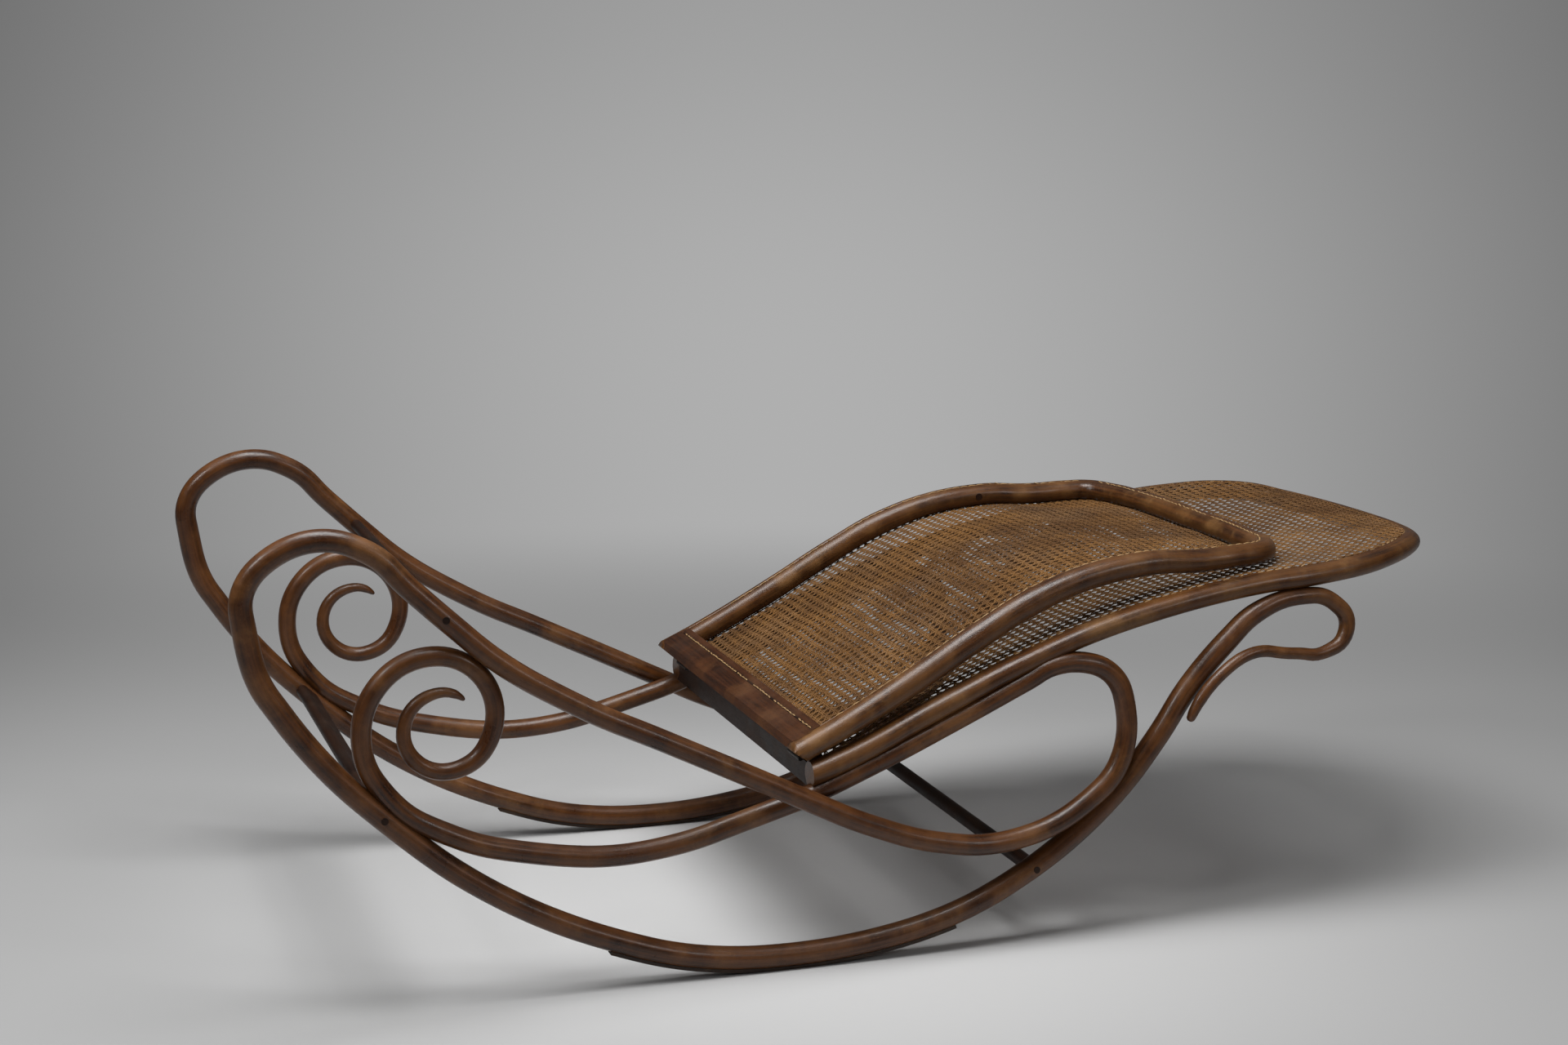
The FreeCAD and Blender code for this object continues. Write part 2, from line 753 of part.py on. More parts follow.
def make_back_cane():
    """Return the caned panel of the back, whose sitting side lies down when folded."""
    sheet = cane_sheet(back_row_shares, back_half(), board_end_x() + carve_gap, -1)
    return single(sheet.cut(bent_rail(back_row_shares, back_half(), carve_gap)))


def back_pegs():
    """Return the ends of the round pegs in the inner face of the back's rail."""
    row = back_row_shares[round(peg_row_share * (len(back_row_shares) - 1))]
    x = row[0] * object_length
    z = row[2] * object_length
    inner = row[1] * back_half() - rail_width / 2
    return [
        (Vector(x, sign * (inner - peg_proud), z), Vector(x, sign * (inner + peg_length), z))
        for sign in (-1, 1)
    ]


def make_cross_round(frames, shares, girth):
    """Return a round bar across the chaise, its ends coped to the rods."""
    start, end = (frame.place(shares) for frame in frames)
    bar = cylinder_between(start, end, girth / 2)
    return finish_cross_member(bar, frames, shares)


def make_cross_board(frames):
    """Return the flat oval board between the rocker rods near the head end."""
    start, end = (frame.place(cross_board_shares) for frame in frames)
    index = frames[0].rows.index(cross_board_shares)
    tangent = node_tangents(frames[0].points)[index]
    tilt = math.degrees(math.atan2(tangent.z, tangent.x))
    flat = (cross_board_height - cross_board_thickness) / 2
    radius = cross_board_thickness / 2
    corners = [Vector(a * flat, 0, b * radius) for a, b in ((-1, 1), (1, 1), (1, -1), (-1, -1))]
    outline = Part.Wire([
        Part.LineSegment(corners[0], corners[1]).toShape(),
        Part.Arc(corners[1], Vector(flat + radius, 0, 0), corners[2]).toShape(),
        Part.LineSegment(corners[2], corners[3]).toShape(),
        Part.Arc(corners[3], Vector(-flat - radius, 0, 0), corners[0]).toShape(),
    ])
    board = Part.Face(outline).extrude(Vector(0, (end - start).Length, 0))
    low = min(start.y, end.y)
    board.Placement = Placement(Vector(start.x, low, start.z), Rotation(Vector(0, 1, 0), -tilt))
    return finish_cross_member(board, frames, cross_board_shares)


def finish_cross_member(bar, frames, shares):
    """Return a cross member coped to the rods and drilled for its screws."""
    tools = []
    for frame in frames:
        index = frame.rows.index(shares)
        tools.append(frame.sweep(index - 1, index + 1, carve_gap))
        tools.append(screw_hole(*member_screw_arguments(frame, shares)))
    return single(bar.cut(tools))


def make_rocker_rod(frame):
    """Return a rocker rod, flattened over its runner and under the seat rail."""
    tools = [frame.runner(carve_gap)]
    for shares in (cross_board_shares, stretcher_shares):
        tools.append(screw_hole(*member_screw_arguments(frame, shares)))
    tools.append(screw_hole(*rail_screw_arguments(frame, rocker_seat_shares)))
    rod = single(frame.rocker().cut(tools))
    return single(rod.cut(bent_rail(seat_row_shares, seat_half(), carve_gap)))


def make_arm_rod(frame):
    """Return an arm rod, flattened where it touches the seat rail and the rocker rod."""
    first = frame.rows.index(rocker_seat_shares) + 1
    last = frame.rows.index(stretcher_shares)
    tools = [frame.sweep(first, last, carve_gap), screw_hole(*member_screw_arguments(frame, head_bar_shares))]
    rod = single(frame.arm().cut(tools))
    return single(rod.cut(bent_rail(seat_row_shares, seat_half(), carve_gap)))


def make_scroll_rod(frame):
    """Return a scroll rod, flattened under the seat rail and where it meets the rocker rod."""
    first = frame.rows.index(runner_start_shares)
    last = frame.rows.index(cross_board_shares) + 2
    tools = [frame.sweep(first, last, carve_gap)]
    for shares in (scroll_seat_front_shares, scroll_seat_rear_shares):
        tools.append(screw_hole(*rail_screw_arguments(frame, shares)))
    rod = single(frame.scroll().cut(tools))
    return single(rod.cut(bent_rail(seat_row_shares, seat_half(), carve_gap)))


def make_runner(frame):
    """Return a runner strip with the flat that standing has worn under it."""
    floor_block = Part.makeBox(object_length, side_spacing * 2, overrun,
                               Vector(-object_length / 2, -side_spacing, -overrun))
    return single(frame.runner().cut(floor_block))


def group(solids):
    """Return separate solids as one compound."""
    return Part.makeCompound([piece for solid in solids for piece in solid.Solids])


def build():
    """Return every node of the chaise by name."""
    left, right = SideFrame(1), SideFrame(-1)
    frames = (right, left)
    nodes = {}
    for name, frame in (("left", left), ("right", right)):
        nodes[name + "_rocker_rod"] = make_rocker_rod(frame)
        nodes[name + "_arm_rod"] = make_arm_rod(frame)
        nodes[name + "_scroll_rod"] = make_scroll_rod(frame)
        nodes[name + "_runner_strip"] = make_runner(frame)
    nodes["head_bar"] = make_cross_round(frames, head_bar_shares, head_bar_girth)
    nodes["lower_cross_board"] = make_cross_board(frames)
    nodes["foot_stretcher"] = make_cross_round(frames, stretcher_shares, stretcher_girth)
    nodes["cross_member_screws"] = group(
        screw(*member_screw_arguments(frame, shares)) for frame in frames for shares in member_shares)
    nodes["screw_plugs"] = group(
        member_plug(frame, shares) for frame in frames for shares in member_shares)
    nodes["seat_rail"] = make_seat_rail(frames)
    nodes["seat_end_board"] = make_end_board()
    nodes["seat_cane"] = make_seat_cane()
    nodes["seat_rail_screws"] = group(
        screw(*rail_screw_arguments(frame, shares)) for frame in frames for shares in rail_screw_shares)
    nodes["end_board_screws"] = group(screw(*arguments) for arguments in end_board_screws())
    nodes["hinge_seat_leaves"] = group(make_seat_leaf(middle) for middle in hinge_places())
    nodes["hinge_pins"] = group(make_hinge_pin(middle) for middle in hinge_places())
    nodes["hinge_back_leaves"] = group(make_back_leaf(middle) for middle in hinge_places())
    nodes["seat_leaf_screws"] = group(
        screw(*arguments) for middle in hinge_places() for arguments in seat_leaf_screws(middle))
    nodes["back_leaf_screws"] = group(
        screw(*arguments) for middle in hinge_places() for arguments in back_leaf_screws(middle))
    nodes["back_rail"] = make_back_rail()
    nodes["back_head_board"] = make_head_board()
    nodes["back_cane"] = make_back_cane()
    nodes["head_board_dowels"] = group(
        cylinder_between(start, end, dowel_radius) for start, end in head_board_dowels())
    nodes["back_rail_pegs"] = group(
        cylinder_between(start, end, peg_radius) for start, end in back_pegs())
    return nodes


os.makedirs("parts", exist_ok=True)
for node_name, shape in build().items():
    shape.exportStep("parts/" + node_name + ".step")
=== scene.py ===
import logging
import math
from dataclasses import dataclass, field
from enum import Enum
from itertools import product
from typing import List, Tuple

import bmesh
import bpy
import numpy as np
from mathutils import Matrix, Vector


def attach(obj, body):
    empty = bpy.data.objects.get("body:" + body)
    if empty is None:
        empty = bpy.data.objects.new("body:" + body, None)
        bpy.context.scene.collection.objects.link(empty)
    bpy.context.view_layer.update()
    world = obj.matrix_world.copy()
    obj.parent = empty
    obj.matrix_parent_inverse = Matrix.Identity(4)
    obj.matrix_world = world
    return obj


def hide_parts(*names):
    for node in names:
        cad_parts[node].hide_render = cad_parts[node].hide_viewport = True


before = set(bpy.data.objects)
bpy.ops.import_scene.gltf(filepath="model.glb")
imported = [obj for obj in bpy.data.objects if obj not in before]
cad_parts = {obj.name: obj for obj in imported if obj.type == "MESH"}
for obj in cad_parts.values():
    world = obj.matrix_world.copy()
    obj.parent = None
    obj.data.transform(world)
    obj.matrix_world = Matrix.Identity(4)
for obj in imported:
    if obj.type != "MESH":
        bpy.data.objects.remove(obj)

Row = Tuple[float, float, float, float]
Colour = Tuple[float, float, float]
Pair = Tuple[float, float]
Array = np.ndarray
Material = bpy.types.Material
Piece = bpy.types.Object
Socket = bpy.types.NodeSocket
Tree = bpy.types.NodeTree

UP = np.array([0.0, 0.0, 1.0])
TINY = 1e-9
CANE_PITCH = 0.0127
GOLDEN_TURN = 2.399
GOLDEN_SHARE = 0.618

OBJECT_LENGTH = 1.676
SIDE_SPACING = 0.650
ROD_GIRTH = 0.030
ROD_LIFT = 0.0173
RAIL_WIDTH = 0.036
SEAT_HALF = 0.306
BACK_HALF = 0.302
STRAIGHT_ANGLE = 0.0005
LEAST_SLACK = 0.000001

LOOP_JOINT: Row = (-0.489, 0.306, 0.0, 0.92)
SEAT_JOINT: Row = (0.117, 0.205, -0.33, 0.90)

ROD_ROWS: List[Row] = [
    (0.226, 0.156, 0.52, 0.40), (0.235, 0.173, 0.52, 0.53), (0.250, 0.189, 0.47, 0.53),
    (0.279, 0.205, 0.30, 0.53), (0.320, 0.202, 0.17, 0.53), (0.344, 0.200, 0.07, 0.57),
    (0.3655, 0.212, -0.07, 0.70), (0.368, 0.2245, -0.17, 0.73), (0.3555, 0.240, -0.27, 0.74),
    (0.320, 0.245, -0.33, 0.78), (0.287, 0.234, -0.30, 0.92), (0.261, 0.2125, -0.23, 0.98),
    (0.233, 0.183, -0.20, 0.98), (0.203, 0.1405, -0.17, 0.98), (0.179, 0.112, -0.07, 0.98),
    (0.151, 0.0855, 0.0, 0.98), (0.100, 0.0487, 0.0, 0.98), (0.033, 0.0177, 0.0, 0.98),
    (0.008, 0.011, 0.0, 0.98), (-0.040, 0.003, 0.0, 0.98), (-0.089, 0.0, 0.0, 0.98),
    (-0.138, 0.002, 0.0, 0.98), (-0.184, 0.010, 0.0, 0.98), (-0.232, 0.026, 0.0, 0.98),
    (-0.287, 0.051, 0.0, 0.98), (-0.340, 0.084, 0.0, 0.98), (-0.399, 0.134, 0.0, 0.98),
    (-0.430, 0.165, 0.0, 0.98), (-0.466, 0.212, 0.0, 0.98), (-0.482, 0.239, 0.0, 0.98),
    (-0.489, 0.266, 0.0, 0.98), LOOP_JOINT,
    (-0.466, 0.328, 0.0, 0.92), (-0.431, 0.335, 0.0, 0.92), (-0.404, 0.325, 0.07, 0.92),
    (-0.374, 0.296, 0.17, 0.92), (-0.353, 0.276, 0.24, 0.92), (-0.316, 0.243, 0.33, 0.92),
    (-0.256, 0.205, 0.37, 0.92), (-0.191, 0.173, 0.43, 0.92), (-0.124, 0.140, 0.48, 0.92),
    (-0.090, 0.123, 0.48, 0.92), (-0.038, 0.098, 0.48, 0.92), (0.013, 0.080, 0.47, 0.92),
    (0.066, 0.073, 0.40, 0.92), (0.135, 0.094, 0.33, 0.92), (0.169, 0.126, 0.23, 0.92),
    (0.176, 0.161, 0.10, 0.92), (0.163, 0.197, -0.10, 0.92), (0.134, 0.207, -0.27, 0.92),
    SEAT_JOINT,
    (0.094, 0.194, -0.40, 0.90), (0.045, 0.171, -0.47, 0.90), (-0.030, 0.1385, -0.47, 0.90),
    (-0.072, 0.122, -0.47, 0.90), (-0.124, 0.1065, -0.45, 0.90), (-0.180, 0.0925, -0.37, 0.90),
    (-0.232, 0.089, -0.22, 0.90), (-0.284, 0.096, -0.10, 0.90), (-0.345, 0.114, 0.0, 0.90),
    (-0.391, 0.144, 0.0, 0.87), (-0.412, 0.183, 0.0, 0.83), (-0.406, 0.221, 0.0, 0.83),
    (-0.373, 0.247, 0.0, 0.83), (-0.342, 0.244, 0.0, 0.80), (-0.321, 0.222, 0.0, 0.78),
    (-0.319, 0.192, 0.0, 0.77), (-0.335, 0.169, 0.0, 0.73), (-0.368, 0.168, 0.0, 0.67),
    (-0.383, 0.192, 0.0, 0.60), (-0.367, 0.219, 0.0, 0.50), (-0.346, 0.220, 0.0, 0.37),
    (-0.339, 0.215, 0.0, 0.17),
]

SEAT_ROWS: List[Row] = [
    (-0.0776, 1.0, 0.1450, 0.92), (-0.0597, 1.0, 0.1510, 0.92), (0.0310, 1.0, 0.1912, 0.86),
    (0.0907, 1.0, 0.2169, 0.79), (0.1504, 1.0, 0.2381, 0.77), (0.2220, 1.0, 0.2557, 0.75),
    (0.2936, 1.0, 0.2673, 0.75), (0.3445, 1.0, 0.2715, 0.75), (0.3902, 0.971, 0.2766, 0.75),
    (0.4248, 0.884, 0.2807, 0.75), (0.4524, 0.744, 0.2817, 0.75), (0.4729, 0.553, 0.2783, 0.75),
    (0.4854, 0.315, 0.2762, 0.75), (0.4897, 0.0, 0.2755, 0.75),
]

BACK_ROWS: List[Row] = [
    (-0.0990, 1.0, 0.1561, 0.933), (-0.0656, 0.995, 0.1715, 0.933), (0.0030, 0.985, 0.2070, 1.11),
    (0.0555, 0.975, 0.2372, 1.14), (0.1026, 0.965, 0.2622, 1.08), (0.1504, 0.955, 0.2789, 0.95),
    (0.1981, 0.945, 0.2862, 0.88), (0.2578, 0.925, 0.2855, 0.83), (0.2800, 0.918, 0.2866, 0.81),
    (0.3052, 0.885, 0.2871, 0.80), (0.3190, 0.775, 0.2862, 0.79), (0.3270, 0.540, 0.2857, 0.78),
    (0.3297, 0.0, 0.2857, 0.78),
]


class Facing(Enum):
    """Which flat of a rail the cane lies on."""

    TOP = 1
    UNDERSIDE = -1


class GrainRun(Enum):
    """Where a wood finish takes the direction of its grain from."""

    ALONG_SWEEP = "grain"
    ACROSS_CHAISE = "across"


def unit(vectors: Array) -> Array:
    """Return vectors at length one."""
    return vectors / np.maximum(np.linalg.norm(vectors, axis=-1, keepdims=True), TINY ** 2)


def row_tangents(points: Array) -> Array:
    """Find the direction of a smooth line at each of its points.

    Args:
        points: The line's points, one a row.

    Returns:
        One unit vector for each point.
    """
    chords = np.diff(points, axis=0)
    pulls = chords / (chords ** 2).sum(1, keepdims=True)
    inner = unit(pulls[:-1] + pulls[1:])
    first, last = unit(chords[0]), unit(chords[-1])
    start = 2 * inner[0].dot(first) * first - inner[0]
    end = 2 * inner[-1].dot(last) * last - inner[-1]
    return np.vstack([start, inner, end])


def arc_points(start: Array, direction: Array, end: Array, step: float) -> Array:
    """Sample the arc that leaves start along a direction and reaches end.

    Args:
        start: First point of the arc.
        direction: Unit vector along the arc at its start.
        end: Last point of the arc.
        step: Greatest distance between samples.

    Returns:
        Points along the arc without its end.
    """
    chord = end - start
    length = float(np.linalg.norm(chord))
    half = math.acos(max(-1.0, min(1.0, float(chord.dot(direction)) / length)))
    count = max(2, math.ceil(length / step))
    if half < STRAIGHT_ANGLE:
        return start + np.linspace(0, 1, count, endpoint=False)[:, None] * chord
    side = unit(chord - direction * chord.dot(direction))
    radius = length / (2 * math.sin(half))
    angles = np.linspace(0, 2 * half, count, endpoint=False)[:, None]
    return start + radius * (np.sin(angles) * direction + (1 - np.cos(angles)) * side)


@dataclass
class BentLine:
    """A smooth line of tangent arcs through points, carrying a size along it."""

    points: Array
    sizes: Array
    step: float = 0.007
    places: Array = field(init=False)
    directions: Array = field(init=False)
    girths: Array = field(init=False)
    reach: Array = field(init=False)
    starts: List[int] = field(init=False)

    def __post_init__(self) -> None:
        """Sample the line once its points are set."""
        tangents = row_tangents(self.points)
        places: List[Array] = []
        girths: List[Array] = []
        self.starts = [0]
        for index in range(len(self.points) - 1):
            start, end = self.points[index], self.points[index + 1]
            first, last = tangents[index], tangents[index + 1]
            span = self.span_points(start, first, end, last)
            share = np.linspace(0, 1, len(span), endpoint=False)
            places.append(span)
            girths.append(self.sizes[index] + (self.sizes[index + 1] - self.sizes[index]) * share)
            self.starts.append(self.starts[-1] + len(span))
        places.append(self.points[-1:])
        girths.append(self.sizes[-1:])
        self.places = np.vstack(places)
        self.girths = np.concatenate(girths)
        ahead = np.diff(self.places, axis=0)
        steps = np.linalg.norm(ahead, axis=1)
        self.reach = np.concatenate([[0.0], np.cumsum(steps)])
        middle = unit(ahead)
        self.directions = unit(np.vstack([tangents[:1], middle[:-1] + middle[1:], tangents[-1:]]))

    def span_points(self, start: Array, first: Array, end: Array,
                    last: Array) -> Array:
        """Sample the two tangent arcs between neighbouring points.

        Args:
            start: The span's first point.
            first: Direction at the first point.
            end: The span's last point.
            last: Direction at the last point.

        Returns:
            Points along both arcs without the end.
        """
        chord = end - start
        both = first + last
        slack = 2 * (1 - first.dot(last))
        if slack > LEAST_SLACK:
            root = math.sqrt(chord.dot(both) ** 2 + slack * chord.dot(chord))
            reach = (root - chord.dot(both)) / slack
        else:
            reach = chord.dot(chord) / (4 * chord.dot(last))
        near, far = start + first * reach, end - last * reach
        middle = (near + far) / 2
        return np.vstack([arc_points(start, first, middle, self.step),
                          arc_points(middle, unit(far - near), end, self.step)])


def ring_quads(rings: int, around: int, start: int) -> Array:
    """Number the faces of a closed tube whose end rings are repeated.

    Args:
        rings: How many rings there are, without the two repeated ones.
        around: How many vertices one ring has, an even number.
        start: Number of the tube's first vertex.

    Returns:
        Four vertex numbers for each face.
    """
    row = np.arange(1, rings)[:, None] * around
    turn = np.arange(around)[None, :]
    after = (turn + 1) % around
    sides = np.stack([row + turn, row + after, row + around + after, row + around + turn], -1)
    pair = np.arange(around // 2 - 1)
    cap = np.stack([pair, pair + 1, around - 2 - pair, around - 1 - pair], -1)
    return np.vstack([sides.reshape(-1, 4), cap[:, ::-1], cap + (rings + 1) * around]) + start


class TubeBatch:
    """Closed tubes of four sided faces, gathered into one piece."""

    def __init__(self) -> None:
        """Start without tubes."""
        self.corners: List[Array] = []
        self.grains: List[Array] = []
        self.quads: List[Array] = []
        self.total = 0

    def add(self, rings: Array, grain: Array) -> "TubeBatch":
        """Add a tube, its first and last ring repeated so that its ends shade flat.

        Args:
            rings: The corners of each ring in metres.
            grain: A vector for each corner that runs with the fibre.

        Returns:
            This batch.
        """
        count, around = rings.shape[:2]
        for values, gathered in ((rings, self.corners), (grain, self.grains)):
            gathered.append(np.concatenate([values[:1], values, values[-1:]]).reshape(-1, 3))
        self.quads.append(ring_quads(count, around, self.total))
        self.total += (count + 2) * around
        return self

    def build(self, name: str) -> Piece:
        """Make the gathered tubes one smooth shaded piece.

        Args:
            name: Name of the new piece.

        Returns:
            The new piece, linked to the scene.
        """
        corners, quads = np.vstack(self.corners), np.vstack(self.quads)
        mesh = bpy.data.meshes.new(name)
        mesh.vertices.add(len(corners))
        mesh.vertices.foreach_set("co", corners.astype(np.float32).ravel())
        mesh.loops.add(quads.size)
        mesh.loops.foreach_set("vertex_index", quads.astype(np.int32).ravel())
        mesh.polygons.add(len(quads))
        mesh.polygons.foreach_set("loop_start", np.arange(0, quads.size, 4, dtype=np.int32))
        mesh.update(calc_edges=True)
        layer = mesh.attributes.new(GrainRun.ALONG_SWEEP.value, "FLOAT_VECTOR", "POINT")
        layer.data.foreach_set("vector", np.vstack(self.grains).astype(np.float32).ravel())
        mesh.shade_smooth()
        piece = bpy.data.objects.new(name, mesh)
        bpy.context.scene.collection.objects.link(piece)
        return piece


@dataclass
class RoundRod:
    """A round bent rod swept along part of a bent line."""

    name: str
    line: BentLine
    first: int
    last: int
    around: int = 24
    round_start: bool = False
    round_end: bool = False
    cap_angles: Tuple[float, ...] = (22.0, 44.0, 62.0, 76.0, 86.0)
    unevenness: float = 0.006
    waves: Pair = (31.0, 12.7)

    def build(self) -> Piece:
        """Sweep the rod and return it."""
        part = slice(self.first, self.last + 1)
        line = self.line
        places, directions, radii, reach = self.round_off(
            (line.places[part], line.directions[part], line.girths[part] / 2, line.reach[part]))
        sideways = np.array([0.0, 1.0, 0.0])
        first_side = unit(sideways - directions * (directions @ sideways)[:, None])
        second_side = np.cross(directions, first_side)
        angles = np.arange(self.around) * 2 * math.pi / self.around
        flats = radii[:, None] * np.cos(angles), radii[:, None] * np.sin(angles)
        swell = 1 - self.unevenness * (1 + np.sin(reach * self.waves[0]) * np.sin(reach * self.waves[1] + 1))
        rings = places[:, None, :]
        for flat, side in zip(flats, (first_side, second_side)):
            rings = rings + (swell[:, None] * flat)[:, :, None] * side[:, None, :]
        grain = np.stack(np.broadcast_arrays(reach[:, None], *flats), -1)
        return TubeBatch().add(rings, grain).build(self.name)

    def round_off(self, shape: Tuple[Array, ...]) -> Tuple[Array, ...]:
        """Round the free ends with shrinking rings inside the rod's length.

        Args:
            shape: Middle line points, directions, radii and distances along the rod.

        Returns:
            The four arrays with the extra end rings.
        """
        cap = np.radians(self.cap_angles)
        for end, wanted in ((0, self.round_start), (-1, self.round_end)):
            if not wanted:
                continue
            places, directions, radii, reach = shape
            outward = directions[end] * (1 if end else -1)
            inner = np.linalg.norm(places - places[end], axis=1) > radii[end]
            extra = (places[end] + outward * (np.sin(cap)[:, None] - 1) * radii[end],
                     np.repeat(directions[end][None], len(cap), 0),
                     radii[end] * np.cos(cap), np.full(len(cap), reach[end]))
            shape = tuple(np.concatenate([kept[inner], more] if end else [more[::-1], kept[inner]])
                          for kept, more in zip(shape, extra))
        return shape


@dataclass
class FlatOvalRail:
    """A rail bent in a U whose upright rings are flat ovals, with a fine groove for the cane."""

    name: str
    rows: List[Row]
    half_width: float
    groove: Facing
    width: float = RAIL_WIDTH
    groove_inset: float = 0.004
    groove_half: float = 0.0017
    groove_depth: float = 0.0012
    notch_room: float = 0.002
    notch_shares: Tuple[float, ...] = (-1.05, -0.8, -0.4, 0.0, 0.4, 0.8, 1.05)
    top_points: int = 17
    least_flat: float = 0.02
    line: BentLine = field(init=False)

    def __post_init__(self) -> None:
        """Lay the middle line from the right side round the foot end to the left side."""
        half = np.array([(row[0] * OBJECT_LENGTH, -row[1] * self.half_width, row[2] * OBJECT_LENGTH)
                         for row in self.rows])
        left = half[-2::-1] * (1, -1, 1)
        thick = np.array([row[3] * self.width for row in self.rows])
        self.line = BentLine(np.vstack([half, left]), np.concatenate([thick, thick[-2::-1]]))

    def inward(self) -> Array:
        """Return the level direction towards the panel at each sample."""
        return unit(np.cross(UP, self.line.directions))

    def groove_course(self, facing: Facing) -> Tuple[Array, Array]:
        """Find the line of the cane's holes along one flat of the rail.

        Args:
            facing: The flat.

        Returns:
            Points on the line and the flat's normals.
        """
        height = self.profile(np.array([self.groove_inset]), self.line.girths)
        up = UP * facing.value
        course = self.line.places + self.inward() * self.groove_inset + height * up
        return course, np.repeat(up[None], len(course), 0)

    def profile(self, across: Array, thickness: Array) -> Array:
        """Find the height of the rounded top above the rail's middle.

        Args:
            across: Places across the rail.
            thickness: Rail thickness at each ring.

        Returns:
            Heights, one row for each ring.
        """
        radius = thickness[:, None] / 2
        bulge = self.width / 2
        flat = np.maximum(bulge - radius, self.width * self.least_flat)
        centre = (bulge ** 2 - flat ** 2 - radius ** 2) / (2 * (bulge - flat))
        offset = np.maximum(np.abs(across)[None, :] - centre, 0)
        curve = np.sqrt(np.maximum((bulge - centre) ** 2 - offset ** 2, 0))
        return np.where(np.abs(across)[None, :] <= flat, radius, np.minimum(curve, radius))

    def build(self) -> Piece:
        """Sweep the rail and return it."""
        sweep = self.width / 2 * np.sin(np.linspace(-math.pi / 2, math.pi / 2, self.top_points))
        sweep = sweep[np.abs(sweep - self.groove_inset) > self.notch_room]
        notch = self.groove_inset + self.groove_half * np.array(self.notch_shares)
        across = np.unique(np.concatenate([sweep, notch]))[::-1]
        rise = self.profile(across, self.line.girths)
        dip = self.groove_depth * np.clip(1 - ((across - self.groove_inset) / self.groove_half) ** 2, 0, 1)
        top = rise - (dip if self.groove is Facing.TOP else 0)
        under = -rise + (dip if self.groove is Facing.UNDERSIDE else 0)
        places = np.concatenate([across, across[-2:0:-1]])
        heights = np.concatenate([top, under[:, -2:0:-1]], axis=1)
        inward = self.inward()
        rings = (self.line.places[:, None, :] + places[None, :, None] * inward[:, None, :]
                 + heights[:, :, None] * UP)
        grain = np.stack(np.broadcast_arrays(self.line.reach[:, None], places[None, :], heights), -1)
        return TubeBatch().add(rings, grain).build(self.name)


@dataclass
class HingeEnd:
    """The folded back's hinge end: its axis and the planes that shape its nose."""

    axis: Tuple[float, float] = (-0.1333576, 0.2573125)
    slope: float = math.radians(24.753)
    overhang: float = 0.011
    thickness: float = 0.0305
    lift: float = 0.0023
    bevel_share: float = 0.75
    undercut: float = math.radians(31.0)
    undercut_gap: float = 0.0036
    board_length: float = 0.049

    def place(self, along: float, across: float, height: float) -> Vector:
        """Return a point given along the sloped back, across it and above the axis."""
        run = Vector((math.cos(self.slope), 0, math.sin(self.slope)))
        rise = Vector((-math.sin(self.slope), 0, math.cos(self.slope)))
        return Vector((self.axis[0], across, self.axis[1])) + run * along + rise * height

    def heading(self, along: float, height: float) -> Vector:
        """Return a direction given along the sloped back and above it."""
        return (self.place(along, 0, height) - self.place(0, 0, 0)).normalized()

    def trim(self, piece: Piece) -> None:
        """Cut a piece of the back to the nose's end, bevel and undercut.

        Args:
            piece: The mesh object to cut in place.
        """
        bevel = self.lift + self.thickness * self.bevel_share
        under = self.heading(-math.cos(self.undercut), -math.sin(self.undercut))
        planes = [
            (self.place(-self.overhang, 0, 0), self.heading(-1, 0)),
            (self.place(-self.overhang, 0, bevel), self.heading(-1, 1)),
            (self.place(0, 0, 0) - under * self.undercut_gap, under),
        ]
        form = bmesh.new()
        form.from_mesh(piece.data)
        for point, outward in planes:
            geometry = form.verts[:] + form.edges[:] + form.faces[:]
            cut = bmesh.ops.bisect_plane(form, geom=geometry, plane_co=point, plane_no=outward,
                                         clear_outer=True)
            rim = [item for item in cut["geom_cut"] if isinstance(item, bmesh.types.BMEdge)]
            bmesh.ops.holes_fill(form, edges=rim, sides=0)
        form.to_mesh(piece.data)
        form.free()


